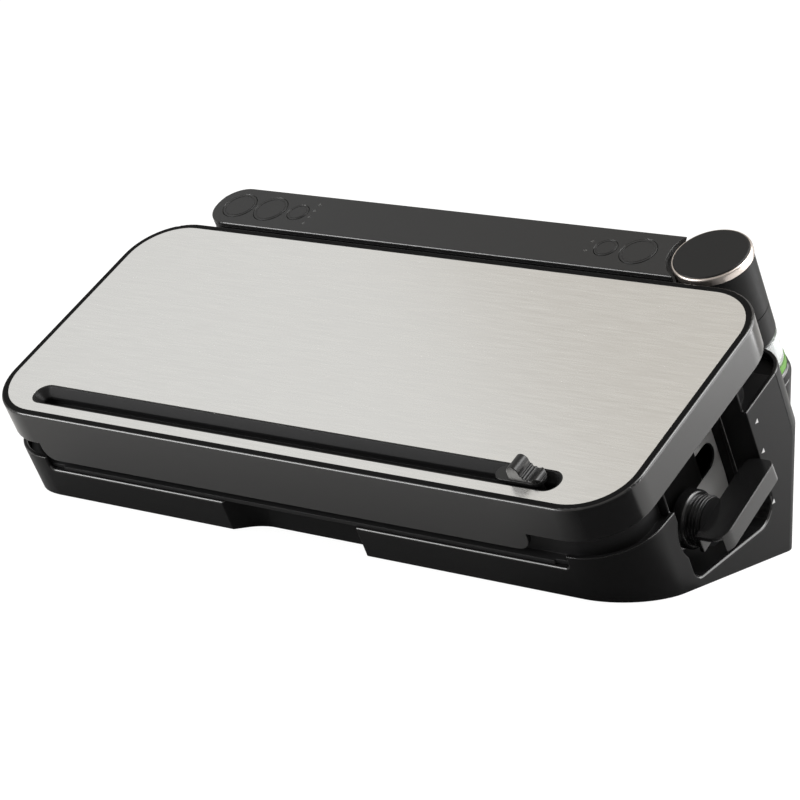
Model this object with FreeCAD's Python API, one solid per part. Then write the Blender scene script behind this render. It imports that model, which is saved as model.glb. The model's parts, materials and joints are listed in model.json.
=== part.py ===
import FreeCAD, Part
import math
import os

# Countertop vacuum sealer with a sloping lid, a latch lever and a docked hand sealer.
# Lengths are millimetres, angles are degrees. X runs to the right, Y to the back, Z up.
# Deck pieces are drawn flat, with y up the slope from the lid's front edge and z square to the lid.

# Stance
deck_tilt = 30.0
deck_height = 51.0
foot_height = 0.8
foot_radius = 9.0
foot_sink = 1.0
foot_inset = 24.0

# Clearances
running_gap = 0.05
press_gap = 0.02
seat_gap = 0.1
free_gap = 0.4
side_gap = 0.3

# Lid
lid_corner = 33.0
lid_skirt = 20.0
lid_wall = 2.6
lid_skin = 1.8
lid_rim = 4.0
rim_round = 1.4
steel_thickness = 0.8
tab_left_inset = 36.0
tab_right_inset = 54.0
tab_drop = 11.0
tab_round = 8.0
liner_thickness = 2.2
liner_recess = 1.0
lid_screw_side = 19.0
lid_screw_rows = (20.0, 122.0)
lid_screw_mid = 60.0
lid_screw_ahead = 9.5
lid_boss_radius = 4.0

# Film cutter in the lid
slot_width = 15.0
slot_left_inset = 28.3
slot_right_inset = 38.0
slot_setback = 17.8
track_drop = 0.3
track_mouth = 13.2
track_neck = 6.4
track_funnel = 5.0
track_lip = 1.5
track_keyway = 9.4
track_keyway_depth = 4.0
blade_slit = 1.8
knob_inset = 22.5
knob_length = 28.0
knob_height = 9.8
knob_width = 10.4
knob_rim = 1.0
fin_setback = 10.5
fin_width = 7.0
saddle_run = 3.6
saddle_height = 2.6
pad_height = 3.6
grip_rib = 0.7
grip_rib_places = (0.25, 0.55)
shoe_length = 22.0
blade_thickness = 0.8
blade_length = 12.0
blade_reach = 21.4

# Hinge at the back of the lid
hinge_pin_radius = 1.5
hinge_eye_radius = 3.4
hinge_spread = 120.0
bracket_width = 10.0
bracket_foot = 16.0
bracket_sole = 2.4
ear_width = 4.0

# Lower body
wall = 2.5
pocket_wall = 1.6
corner_rim = 30.5
side_rim = 34.5
front_rim = 39.0
rim_corner_gap = 2.0
rim_step_round = 3.0
rim_edge = 1.2
rim_back_gap = 2.1
rear_rim_corner = 19.4
shoulder_gap = 1.5
shoulder_inset = 17.0
shoulder_drop = 25.0
back_corner = 12.0
ledge_width = 2.5
ledge_thickness = 2.5
scoop_width = 88.0
scoop_shift = -4.0
scoop_depth = 14.0
scoop_splay = 7.0
scoop_round = 12.0
cover_thickness = 2.0
screw_radius = 1.4
screw_head_radius = 3.2
screw_head = 1.0
screw_length = 12.0
boss_radius = 4.5
boss_height = 16.0
boss_bite = 1.0
boss_corner_gap = 30.0
boss_core_gap = 13.0
vent_count = 7
vent_pitch = 8.0
vent_width = 3.0
vent_length = 40.0

# Deck under the lid
flange_thickness = 2.5
flange_corner_gap = 11.0
flange_overlap = 1.0
plateau_inset = 7.0
plateau_drop = 22.0
plateau_back_inset = 5.0
plateau_corner = 26.0
gasket_half = 158.0
gasket_front = 39.5
gasket_back = 81.5
gasket_width = 7.0
gasket_corner = 16.0
gasket_groove = 1.2
chamber_margin = 1.0
chamber_depth = 17.5
chamber_corner = 8.0
tray_wall = 1.5
tray_lip = 1.5
roll_radius = 29.5
roll_gap = 5.5
roll_sink = 28.0
roll_inset = 8.0
seal_setback = 31.5
seal_width = 7.0
seal_half = 152.0
seal_height = 1.4
heater_width = 3.0
heater_thickness = 0.3
cut_groove_width = 3.0
cut_groove_depth = 1.2

# Lever, latch shaft and claws
pivot_setback = 76.0
pivot_drop = 70.0
shaft_radius = 4.0
operate_turn = 30.0
arm_lift = 3.0
arm_width = 16.0
arm_thickness = 10.7
arm_tail = 15.5
arm_reach = 41.5
arm_proud = 9.5
arm_wall = 2.5
arm_nose_round = 9.0
arm_tip_round = 4.0
hub_radius = 15.0
hub_step_radius = 12.6
hub_flange = 7.5
hub_edge = 1.0
bush_radius = 6.0
bush_flange_radius = 9.0
bush_flange = 2.0
claw_width = 6.0
claw_margin = 11.0
claw_hub_radius = 8.0
claw_arm = 5.6
claw_hook = 5.5
claw_height = 34.0
claw_nose = 4.6
claw_slant = 75.0
claw_undercut = 1.5
lever_screw_radius = 1.8
lever_screw_head = 4.0
pillar_width = 6.0
pillar_depth = 20.0

# Lever window and pocket in the right wall
window_front = 44.6
window_back = 118.5
window_front_drop = 78.6
window_back_drop = 101.8
window_front_round = 8.0
window_back_round = 12.0
pocket_depth = 24.0
pocket_slot_width = 14.0
pocket_slot_drop = 59.0
pocket_slot_front = 90.0
pocket_slot_back = 115.0
rib_across = 187.5
rib_width = 1.6
rib_height = 1.4
notch_depth = 3.5
notch_radius = 20.0
notch_drop = 52.5
notch_reach = 5.0

# Lid catches
catch_stem = 5.0
catch_lip = 11.5
catch_lip_thickness = 4.0
catch_plate_length = 16.0
catch_plate = 2.0

# Control panel
panel_gap = 2.8
panel_depth = 32.5
panel_left_inset = 31.8
panel_right_gap = 11.6
panel_round = 15.5
panel_rise = 0.5
panel_thickness = 2.5
panel_edge = 1.0
housing_wall = 2.0
button_inset = 16.2
button_radius = 10.2
mode_radius = 6.5
vacuum_inset = 16.9
seal_inset = 39.4
food_mode_inset = 59.2
handheld_mode_gap = 61.3
handheld_button_gap = 41.3
button_rise = 0.2
button_flange = 0.8
button_flange_thickness = 1.0
button_travel = 0.8
stem_radius = 2.0
stem_length = 2.2
light_radius = 0.9
food_light_inset = 69.0
food_light_count = 4
food_light_pitch = 5.7
handheld_light_gap = 71.6
handheld_light_count = 2
handheld_light_pitch = 7.7
board_thickness = 1.6
switch_height = 0.8
board_margin = 1.5
post_radius = 2.0
switch_radius = 2.2

# Hand sealer and its dock
handheld_side_inset = 50.4
handheld_inset = 20.7
barrel_radius = 21.0
barrel_wall = 2.0
barrel_seam = 36.0
barrel_bottom = 54.5
barrel_foot_round = 3.0
barrel_foot_steps = 4
seam_groove = 0.4
ring_radius = 21.4
ring_height = 4.5
ring_lip = 1.2
cap_rise = 1.0
cap_dish = 0.6
cap_thickness = 4.0
reservoir_top_radius = 20.8
reservoir_radius = 18.0
reservoir_wall = 1.6
reservoir_shoulder = 80.0
reservoir_bottom = 88.0
reservoir_neck = 12.5
nozzle_radius = 8.0
nozzle_bore = 3.0
nozzle_bottom = 96.0
band_radius = 21.2
band_top = 71.0
band_height = 4.3
bay_gap = 2.9
dock_rim = 75.7
dock_radius = 22.3
dock_cup_radius = 22.0
dock_lip = 5.0
dock_offset = 1.5
dock_cup_gap = 0.5
dock_edge = 1.0

# Works inside the lower body
motor_radius = 13.0
motor_length = 55.0
motor_right = -5.0
motor_inset = 25.4
motor_lift = 2.0
cradle_width = 7.0
cradle_height = 10.0
pump_length = 40.0
pump_depth = 40.0
pump_height = 28.0
tube_radius = 4.0
tube_bore = 2.5
tube_across = 15.0
tube_height = 12.0
tube_bend = 12.0
tube_rise = 75.0
port_radius = 5.0
port_height = 36.0
core_length = 50.0
core_depth = 42.0
core_height = 24.0
core_side_inset = 39.0
core_inset = 6.4
winding_length = 30.0
winding_bulge = 4.0
main_board_shift = 20.0
main_board_length = 110.0
main_board_front = 50.0
main_board_back = 90.0
main_post_height = 4.0
gland_across = -120.0
gland_height = 40.0
gland_radius = 6.5
gland_flange_radius = 9.0
gland_flange = 2.5
gland_bore = 3.5

# Derived places
sine = math.sin(math.radians(deck_tilt))
cosine = math.cos(math.radians(deck_tilt))
claw_spread = gasket_half + claw_margin
pocket_floor = claw_spread + claw_width / 2 + free_gap + pillar_width + pocket_wall
half_width = pocket_floor + pocket_depth
handheld_across = half_width - handheld_side_inset
panel_left = panel_left_inset - half_width
panel_right = handheld_across - panel_right_gap
vacuum_place = panel_left + vacuum_inset
seal_place = panel_left + seal_inset
food_mode_place = panel_left + food_mode_inset
food_light_place = panel_left + food_light_inset
handheld_mode_place = handheld_across - handheld_mode_gap
handheld_place = handheld_across - handheld_button_gap
handheld_light_place = handheld_across - handheld_light_gap
main_board_right = -main_board_shift
main_board_left = main_board_right - main_board_length
core_left = core_side_inset - half_width
boss_spread = -(core_left + core_length + boss_core_gap)
front_rim_half = half_width - lid_corner - rim_corner_gap
flange_front_half = half_width - lid_corner - flange_corner_gap
roll_half = gasket_half - roll_inset
roll_centre = gasket_back + roll_gap + roll_radius
shoulder_depth = roll_centre + roll_radius + 2 * wall + shoulder_gap
plateau_back = shoulder_depth - plateau_back_inset
lid_depth = shoulder_depth + shoulder_inset
far = 2 * lid_depth
rim_back = lid_depth - rim_back_gap
liner_bottom = -(lid_skirt - liner_recess)
liner_top = liner_bottom + liner_thickness
skin_under = -(steel_thickness + lid_skin)
slot_left = slot_left_inset - half_width
slot_right = half_width - slot_right_inset
knob_rest = slot_right - knob_inset
hinge_y = lid_depth - lid_wall - side_gap + seat_gap - hinge_eye_radius
hinge_z = skin_under - seat_gap - seat_gap - hinge_eye_radius
panel_front = lid_depth + panel_gap
button_line = panel_front + button_inset
handheld_setback = panel_front + handheld_inset
panel_back = panel_front + panel_depth
panel_under = panel_rise - panel_thickness
back_y = panel_back * cosine
motor_setback = back_y - motor_inset
core_back = back_y - core_inset
button_low = panel_under - seat_gap - button_flange_thickness
board_top = button_low - stem_length - button_travel - side_gap - switch_height
board_low = board_top - board_thickness
board_front = panel_front + housing_wall + board_margin
board_back = (back_y - housing_wall - board_margin + board_low * sine) / cosine
bay_radius = barrel_radius + bay_gap
arm_outer = half_width + arm_proud
arm_inner = arm_outer - arm_width
plateau_half = half_width - plateau_inset
plateau_under = -(plateau_drop + wall)
chamber_half = gasket_half - gasket_width - chamber_margin
chamber_front = gasket_front + gasket_width + chamber_margin
chamber_back = gasket_back - gasket_width - chamber_margin
chamber_floor = -(plateau_drop + chamber_depth)
claw_top = pivot_setback + claw_height / math.tan(math.radians(claw_slant))
catch_front = claw_top + claw_arm / 2 - claw_undercut
catch_stem_front = catch_front + catch_lip
catch_top = -(pivot_drop - claw_height + claw_nose + free_gap)
catch_bottom = catch_top - catch_lip_thickness
cover_top = foot_height + cover_thickness
motor_axis_z = cover_top + motor_lift + motor_radius
gasket_meet = (liner_bottom - plateau_drop) / 2
front_y = rim_round * (cosine + sine - 1)
dock_y = handheld_setback * cosine + dock_rim * sine + dock_offset
middle_x = (arm_outer - half_width) / 2
middle_y = (front_y + dock_y + dock_radius) / 2


def vec(x, y, z):
    return FreeCAD.Vector(x, y, z)


def deck_y(y, z):
    """Level distance back from the lid's front edge of a deck point."""
    return y * cosine - z * sine


def deck_z(y, z):
    """Height above the table of a deck point."""
    return deck_height + y * sine + z * cosine


def lean(shape):
    """Tilt a piece drawn flat on to the slope of the deck."""
    placed = shape.copy()
    placed.rotate(vec(0, 0, 0), vec(1, 0, 0), deck_tilt)
    placed.translate(vec(0, 0, deck_height))
    return placed


def save(name, shape):
    """Move the piece so that the origin is under the middle of the whole, and write it."""
    placed = shape.copy()
    placed.translate(vec(-middle_x, -middle_y, 0))
    if not placed.isValid():
        raise ValueError(name + " is not a valid solid")
    placed.exportStep("parts/" + name + ".step")


def group(shapes):
    return Part.makeCompound(shapes)


def edges_along(shape, direction, low=None, high=None):
    """Straight edges along one axis whose middles lie between two corners."""
    found = []
    for edge in shape.Edges:
        if not isinstance(edge.Curve, Part.Line):
            continue
        if abs(edge.Curve.Direction.dot(direction)) < 0.999:
            continue
        middle = edge.CenterOfMass
        if low is not None and any(middle[i] < low[i] for i in range(3)):
            continue
        if high is not None and any(middle[i] > high[i] for i in range(3)):
            continue
        found.append(edge)
    return found


def edges_at(shape, height):
    """Edges lying in one level plane."""
    box = [edge.BoundBox for edge in shape.Edges]
    pairs = zip(shape.Edges, box)
    return [edge for edge, b in pairs if abs(b.ZMin - height) < 1e-4 and abs(b.ZMax - height) < 1e-4]


def block(x0, x1, y0, y1, z0, z1, corner=0.0):
    """Box between two corners, with its upright edges rounded."""
    solid = Part.makeBox(x1 - x0, y1 - y0, z1 - z0, vec(x0, y0, z0))
    if corner > 0:
        solid = solid.makeFillet(corner, edges_along(solid, vec(0, 0, 1)))
    return solid


def drum(x, y, radius, z0, z1):
    """Upright cylinder."""
    return Part.makeCylinder(radius, z1 - z0, vec(x, y, z0))


def rod(y, z, radius, x0, x1):
    """Cylinder along X."""
    return Part.makeCylinder(radius, x1 - x0, vec(x0, y, z), vec(1, 0, 0))


def stadium_wire(x0, x1, y, width, z):
    radius = width / 2
    left = x0 + radius
    right = x1 - radius
    near = Part.LineSegment(vec(left, y - radius, z), vec(right, y - radius, z))
    right_end = Part.Arc(vec(right, y - radius, z), vec(x1, y, z), vec(right, y + radius, z))
    away = Part.LineSegment(vec(right, y + radius, z), vec(left, y + radius, z))
    left_end = Part.Arc(vec(left, y + radius, z), vec(x0, y, z), vec(left, y - radius, z))
    return Part.Wire([curve.toShape() for curve in (near, right_end, away, left_end)])


def stadium(x0, x1, y, width, z0, z1):
    """Upright prism with round ends along X."""
    return Part.Face(stadium_wire(x0, x1, y, width, z0)).extrude(vec(0, 0, z1 - z0))


def strip(points, x0, x1):
    """Section of (y, z) corners carried along X."""
    corners = [vec(x0, y, z) for y, z in points]
    face = Part.Face(Part.makePolygon(corners + corners[:1]))
    return face.extrude(vec(x1 - x0, 0, 0))


def turned(points, x, y):
    """Section of (radius, z) corners turned round an upright axis."""
    corners = [vec(x + radius, y, z) for radius, z in points]
    face = Part.Face(Part.makePolygon(corners + corners[:1]))
    return face.revolve(vec(x, y, 0), vec(0, 0, 1), 360)


def swung(shape, y, z, angle):
    """Piece turned about an axis along X."""
    placed = shape.copy()
    placed.rotate(vec(0, y, z), vec(1, 0, 0), angle)
    return placed


# Outlines shared by several pieces


def lid_blank(inset, z0, z1):
    """Lid outline drawn in by an inset."""
    half = half_width - inset
    return block(-half, half, inset, lid_depth - inset, z0, z1, lid_corner - inset)


def body_blank(inset, floor, top):
    """Lower body: the lid outline carried down square to the deck, with an upright back."""
    half = half_width - inset
    raked = lean(block(-half, half, inset, far, -far, top, lid_corner - inset))
    upright = block(-half, half, -far, back_y - inset, floor, far, back_corner - inset)
    return raked.common(upright)


def ring_blank(z0, z1):
    """Gasket ring round the vacuum chamber."""
    outer = block(-gasket_half, gasket_half, gasket_front, gasket_back, z0, z1, gasket_corner)
    half = gasket_half - gasket_width
    inner_corner = gasket_corner - gasket_width
    front = gasket_front + gasket_width
    inner = block(-half, half, front, gasket_back - gasket_width, z0, z1, inner_corner)
    return outer.cut(inner)


def panel_blank(inset, z0, z1, edge=0.0):
    """Panel outline: round at the left, hollowed round the hand sealer at the right."""
    left = panel_left + inset
    back = panel_back - inset
    solid = block(left, panel_right - inset, panel_front + inset, back, z0, z1)
    near_left = edges_along(solid, vec(0, 0, 1), (left - 1, 0, -far), (left + 1, far, far))
    solid = solid.makeFillet(panel_round - inset, near_left)
    if edge > 0:
        solid = solid.makeFillet(edge, edges_at(solid, z1))
    return solid.cut(drum(handheld_across, handheld_setback, bay_radius + inset, z0, z1))


def window_blank(grow, x0, x1, top):
    """Lever window, drawn from the side and carried along X."""
    front = window_front - grow
    back = window_back + grow
    low_front = -(window_front_drop + grow)
    low_back = -(window_back_drop + grow)
    solid = strip([(front, top), (front, low_front), (back, low_back), (back, top)], x0, x1)
    low = (x0, front - 1, low_front - 1)
    high = (x1, front + 1, low_front + 1)
    solid = solid.makeFillet(window_front_round + grow, edges_along(solid, vec(1, 0, 0), low, high))
    low = (x0, back - 1, low_back - 1)
    high = (x1, back + 1, low_back + 1)
    return solid.makeFillet(window_back_round + grow, edges_along(solid, vec(1, 0, 0), low, high))


def scoop_blank(grow):
    """Finger scoop in the front wall, splayed towards the front."""
    left = scoop_shift - scoop_width / 2 - grow
    right = scoop_shift + scoop_width / 2 + grow
    deep = scoop_depth + grow
    ahead = wall + scoop_depth
    run = scoop_splay * (deep + ahead) / scoop_depth
    corners = [(left - run + scoop_splay, -ahead), (right + run - scoop_splay, -ahead)]
    corners += [(right - scoop_splay, deep), (left + scoop_splay, deep)]
    points = [vec(x, y, -far) for x, y in corners]
    face = Part.Face(Part.makePolygon(points + points[:1]))
    solid = face.extrude(vec(0, 0, far - front_rim + flange_thickness))
    inner = edges_along(solid, vec(0, 0, 1), (-far, deep - 1, -far), (far, deep + 1, far))
    return solid.makeFillet(scoop_round + grow, inner)


def hinge_notch(x):
    """Room in the lid for a hinge bracket to pass as the lid turns."""
    half = bracket_width / 2 + free_gap + side_gap
    front = hinge_y - hinge_eye_radius - free_gap
    return block(x - half, x + half, front, lid_depth + wall, -lid_skirt - wall, skin_under)


def hinge_profile(x0, x1, foot_z):
    """Eye round the hinge axis with a straight leg down to a seat."""
    leg = block(x0, x1, hinge_y - hinge_eye_radius, hinge_y + hinge_eye_radius, foot_z, hinge_z)
    return leg.fuse(rod(hinge_y, hinge_z, hinge_eye_radius, x0, x1))


hinge_places = (-hinge_spread, hinge_spread)
claw_places = (-claw_spread, claw_spread)
lid_screw_x = half_width - lid_screw_side
lid_screw_places = [(side * lid_screw_x, y) for side in (-1, 1) for y in lid_screw_rows]
lid_screw_places += [(side * lid_screw_mid, hinge_y - lid_screw_ahead) for side in (-1, 1)]
boss_x = half_width - wall - boss_radius + boss_bite
boss_back = back_y - wall - boss_radius + boss_bite
boss_front = lid_corner + boss_corner_gap
boss_rows = (boss_front, back_y - back_corner - boss_radius)
boss_places = [(side * boss_x, y) for side in (-1, 1) for y in boss_rows]
boss_places += [(side * boss_spread, boss_back) for side in (-1, 1)]
foot_front = deck_y(0, (foot_height - deck_height) / cosine) + foot_inset
foot_rows = (foot_front, back_y - foot_inset)
foot_places = [(side * (half_width - lid_corner), y) for side in (-1, 1) for y in foot_rows]


# Lid


def build_lid_shell():
    shell = lid_blank(0, -lid_skirt, 0)
    shell = shell.makeFillet(rim_round, edges_at(shell, 0))
    left = tab_left_inset - half_width
    right = half_width - tab_right_inset
    tab = block(left, right, 0, lid_wall, -lid_skirt - tab_drop, -lid_skirt / 2)
    low = (-far, -far, -lid_skirt - tab_drop - 1)
    high = (far, far, -lid_skirt - tab_drop + 1)
    tab = tab.makeFillet(tab_round, edges_along(tab, vec(0, 1, 0), low, high))
    shell = shell.fuse(tab)
    shell = shell.cut(lid_blank(lid_wall, -lid_skirt - 1, skin_under).cut(tab))
    bosses = [drum(x, y, lid_boss_radius, liner_top, skin_under) for x, y in lid_screw_places]
    shell = shell.fuse(bosses)
    hole = screw_radius + press_gap
    cuts = [drum(x, y, hole, liner_bottom, skin_under - lid_skin) for x, y in lid_screw_places]
    cuts += [hinge_notch(x) for x in hinge_places]
    cuts.append(lid_blank(lid_rim, -steel_thickness, 1))
    cuts.append(stadium(slot_left, slot_right, slot_setback, slot_width, -lid_skirt, 1))
    return shell.cut(cuts).removeSplitter()


def build_steel_plate():
    plate = lid_blank(lid_rim + seat_gap, -steel_thickness, 0)
    return plate.cut(stadium(slot_left, slot_right, slot_setback, slot_width, -lid_skirt, 1))


def build_lid_liner():
    liner = lid_blank(lid_wall + side_gap, liner_bottom, liner_top)
    ears = []
    for x in hinge_places:
        for side in (-1, 1):
            near = x + side * (bracket_width / 2 + free_gap)
            away = near + side * ear_width
            ears.append(hinge_profile(min(near, away), max(near, away), liner_top))
    liner = liner.fuse(ears)
    cuts = [hinge_notch(x) for x in hinge_places]
    cuts.append(rod(hinge_y, hinge_z, hinge_pin_radius + running_gap, -half_width, half_width))
    cuts.append(stadium(slot_left, slot_right, slot_setback, slot_width, -lid_skirt, 0))
    cuts.append(ring_blank(liner_bottom, liner_bottom + gasket_groove))
    cuts.append(strip_bed(liner_bottom, liner_bottom + gasket_groove))
    for x, y in lid_screw_places:
        cuts.append(drum(x, y, screw_radius + seat_gap, liner_bottom, liner_top))
    return liner.cut(cuts).removeSplitter()


def strip_bed(z0, z1):
    """Bed for the sealing strip, the same in the lid and on the deck."""
    near = seal_setback - seal_width / 2
    return block(-seal_half, seal_half, near, near + seal_width, z0, z1)


def build_upper_gasket():
    return ring_blank(gasket_meet + side_gap / 2, liner_bottom + gasket_groove)


def build_lower_gasket():
    return ring_blank(-plateau_drop - gasket_groove, gasket_meet - side_gap / 2)


def build_pressure_strip():
    heater_top = -plateau_drop + seal_height + heater_thickness
    return strip_bed(heater_top + free_gap, liner_bottom + gasket_groove)


def build_lid_screws():
    screws = []
    for x, y in lid_screw_places:
        shank = drum(x, y, screw_radius, liner_bottom, skin_under - lid_skin)
        head = drum(x, y, screw_head_radius, liner_bottom - screw_head, liner_bottom)
        screws.append(shank.fuse(head).removeSplitter())
    return group(screws)


def build_cutter_track():
    half_gap = slot_width - 2 * seat_gap
    left = slot_left + seat_gap
    right = slot_right - seat_gap
    track = stadium(left, right, slot_setback, half_gap, liner_bottom, -track_drop)
    edge = (slot_width - track_mouth) / 2
    mouth = stadium_wire(slot_left + edge, slot_right - edge, slot_setback, track_mouth, -track_drop)
    edge = (slot_width - track_neck) / 2
    neck_left = slot_left + edge
    neck_right = slot_right - edge
    throat = stadium_wire(neck_left, neck_right, slot_setback, track_neck, -track_funnel)
    funnel = Part.makeLoft([mouth, throat], True)
    keyway_top = -track_funnel - track_lip
    neck = stadium(neck_left, neck_right, slot_setback, track_neck, keyway_top, -track_funnel)
    edge = (slot_width - track_keyway) / 2
    keyway_floor = keyway_top - track_keyway_depth
    keyway = stadium(slot_left + edge, slot_right - edge, slot_setback, track_keyway,
                     keyway_floor, keyway_top)
    slit_left = slot_left + knob_length / 2
    slit_right = slot_right - knob_length / 2 + blade_length / 2
    slit = stadium(slit_left - blade_length, slit_right, slot_setback, blade_slit,
                   liner_bottom, keyway_floor)
    return track.cut([funnel, neck, keyway, slit]).removeSplitter()


def build_lid_catches():
    """Forward lips that hang through the deck for the claws to hold down."""
    catches = []
    for x in claw_places:
        x0 = x - claw_width / 2
        x1 = x + claw_width / 2
        stem_back = catch_stem_front + catch_stem
        hook = [(catch_stem_front, liner_bottom), (stem_back, liner_bottom), (stem_back, catch_bottom)]
        hook += [(catch_front, catch_bottom), (catch_front, catch_top), (catch_stem_front, catch_top)]
        plate_front = catch_stem_front + catch_stem / 2 - catch_plate_length / 2
        plate = block(x0 - catch_stem, x1 + catch_stem, plate_front, plate_front + catch_plate_length,
                      liner_bottom - catch_plate, liner_bottom, catch_plate)
        catches.append(strip(hook, x0, x1).fuse(plate).removeSplitter())
    return group(catches)


# Cutter that runs in the lid's slot


def shoe_span():
    """Top and bottom of the shoe in the keyway."""
    top = -track_funnel - track_lip - side_gap
    return top, top - track_keyway_depth + 2 * side_gap


def build_cutter_slide():
    left = knob_rest - knob_length / 2
    right = knob_rest + knob_length / 2
    rim_width = track_mouth - 2 * (side_gap + knob_rim)
    rim = stadium(left, right, slot_setback, rim_width, -knob_rim, knob_rim)
    shoe_top, shoe_low = shoe_span()
    shoe_left = knob_rest - shoe_length / 2
    shoe_right = knob_rest + shoe_length / 2
    neck = stadium(shoe_left, shoe_right, slot_setback, track_neck - 2 * side_gap, shoe_top, -knob_rim)
    shoe = stadium(shoe_left, shoe_right, slot_setback, track_keyway - 2 * side_gap, shoe_low, shoe_top)
    grip = build_grip(left, right)
    slide = rim.fuse([neck, shoe, grip])
    half = blade_thickness / 2 + press_gap
    slot = block(knob_rest - blade_length / 2 - press_gap, knob_rest + blade_length / 2 + press_gap,
                 slot_setback - half, slot_setback + half, shoe_low, shoe_top)
    return slide.cut(slot).removeSplitter()


def build_grip(left, right):
    """Thumb grip: a tall round fin, a ribbed hollow saddle and a low pad, cut from the side."""
    y0 = slot_setback - knob_width / 2
    fin_left = left + fin_setback
    fin_right = fin_left + fin_width
    crown = fin_width / 2
    shoulder = knob_height - crown
    end = right - knob_rim
    pad_round = pad_height - knob_rim
    pad_start = vec(end - pad_round, y0, pad_height)
    diagonal = pad_round * math.sqrt(0.5)
    up = Part.LineSegment(vec(fin_left, y0, 0), vec(fin_left, y0, shoulder))
    over = Part.Arc(vec(fin_left, y0, shoulder), vec(fin_left + crown, y0, knob_height),
                    vec(fin_right, y0, shoulder))
    hollow = Part.Arc(vec(fin_right, y0, shoulder), vec(fin_right + saddle_run, y0, saddle_height), pad_start)
    pad_mid = vec(end - pad_round + diagonal, y0, knob_rim + diagonal)
    pad = Part.Arc(pad_start, pad_mid, vec(end, y0, knob_rim))
    drop = Part.LineSegment(vec(end, y0, knob_rim), vec(end, y0, 0))
    base = Part.LineSegment(vec(end, y0, 0), vec(fin_left, y0, 0))
    wire = Part.Wire([curve.toShape() for curve in (up, over, hollow, pad, drop, base)])
    grip = Part.Face(wire).extrude(vec(0, knob_width, 0))
    span = hollow.LastParameter - hollow.FirstParameter
    ribs = []
    for share in grip_rib_places:
        point = hollow.value(hollow.FirstParameter + share * span)
        ribs.append(Part.makeCylinder(grip_rib, knob_width, point, vec(0, 1, 0)))
    return grip.fuse(ribs).common(stadium(left, right, slot_setback, knob_width, 0, knob_height + 1))


def build_cutter_blade():
    """Blade with a sloping cutting edge at each end, held in the shoe."""
    shoe_top, shoe_low = shoe_span()
    left = knob_rest - blade_length / 2
    right = knob_rest + blade_length / 2
    y0 = slot_setback - blade_thickness / 2
    corners = [(left, shoe_top), (right, shoe_top), (right, -blade_reach + blade_length / 2)]
    corners += [(knob_rest, -blade_reach), (left, -blade_reach + blade_length / 2)]
    points = [vec(x, y0, z) for x, z in corners]
    return Part.Face(Part.makePolygon(points + points[:1])).extrude(vec(0, blade_thickness, 0))


# Lower body


def build_base_shell():
    body = body_blank(0, foot_height, -corner_rim)
    rim_line = [(-wall, far), (-wall, -corner_rim), (0, -corner_rim), (window_front, -side_rim)]
    rim_line += [(shoulder_depth, -side_rim), (shoulder_depth, far)]
    side_cut = strip(rim_line, -far, far)
    front_cut = block(-front_rim_half, front_rim_half, -far, scoop_depth + wall, -front_rim, far)
    steps = edges_along(front_cut, vec(0, 1, 0), None, (far, far, -front_rim + 1))
    front_cut = front_cut.makeFillet(rim_step_round, steps)
    body = body.cut([lean(side_cut), lean(front_cut)])
    body = body.makeFillet(rim_edge, [edge for edge in body.Edges if on_front_rim(edge)])
    stem = body_blank(0, foot_height, -shoulder_drop)
    tail = stem.common(lean(block(-half_width, half_width, shoulder_depth - wall, far, -far, -shoulder_drop)))
    body = body.cut(lean(block(-far, far, shoulder_depth - wall, far, -far, far))).fuse(tail)
    body = body.cut(lean(block(-far, far, shoulder_depth, far, -shoulder_drop, far)))
    body = body.cut(bay_blocks(0, -side_rim)).cut(corner_recesses())
    cavity = body_blank(wall, 0, far)
    cavity = cavity.cut(lean(block(-far, far, shoulder_depth - wall, far, -shoulder_drop - wall, far)))
    cavity = cavity.cut(bay_blocks(wall, -front_rim - wall))
    ledge_top = -front_rim
    ledge = lean(block(-far, far, -far, shoulder_depth, ledge_top - ledge_thickness, ledge_top))
    ledge = ledge.common(cavity).cut(body_blank(wall + ledge_width, 0, far))
    cavity = cavity.cut([ledge, lean(scoop_blank(wall))])
    shell = body.cut(cavity)
    pocket_top = -plateau_drop - side_gap
    pocket = lean(window_blank(pocket_wall, pocket_floor - pocket_wall, half_width - wall, pocket_top))
    bosses = [drum(x, y, boss_radius, cover_top, cover_top + boss_height) for x, y in boss_places]
    shell = shell.fuse([pocket] + [boss.common(body) for boss in bosses])
    cuts = [lean(window_blank(0, pocket_floor, half_width + wall, 0).cut(pocket_rib())), lean(scoop_blank(0))]
    cuts.append(lean(window_notch()))
    bush_hole = rod(pivot_setback, -pivot_drop, bush_radius + press_gap, pocket_floor - wall, half_width)
    cuts.append(lean(bush_hole))
    cuts.append(lean(pocket_slot()))
    cuts.append(lean(wire_opening()))
    cuts += [drum(x, y, screw_radius + press_gap, 0, foot_height + screw_length) for x, y in boss_places]
    gland_start = vec(gland_across, back_y - 2 * wall, gland_height)
    cuts.append(Part.makeCylinder(gland_radius + seat_gap, 4 * wall, gland_start, vec(0, 1, 0)))
    return shell.cut(cuts).removeSplitter()


def on_front_rim(edge):
    """True for the long outer edge of the front rim."""
    y = deck_y(0, -front_rim)
    z = deck_z(0, -front_rim)
    middle = edge.CenterOfMass
    return edge.BoundBox.XLength > front_rim_half and math.hypot(middle.y - y, middle.z - z) < 1e-3


def corner_stock(inset, top):
    """Rear of the lower body beside the panel, its round corners square to the deck."""
    half = half_width - inset
    return block(-half, half, -far, rim_back - inset, -far, top, rear_rim_corner - inset)


def corner_blocks(grow, low):
    """Everything behind the shoulder beside the panel, right and left."""
    front = shoulder_depth - wall
    right = panel_right - grow
    left = panel_left + grow
    return [block(right, far, front, far, low, far), block(-far, left, front, far, low, far)]


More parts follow.
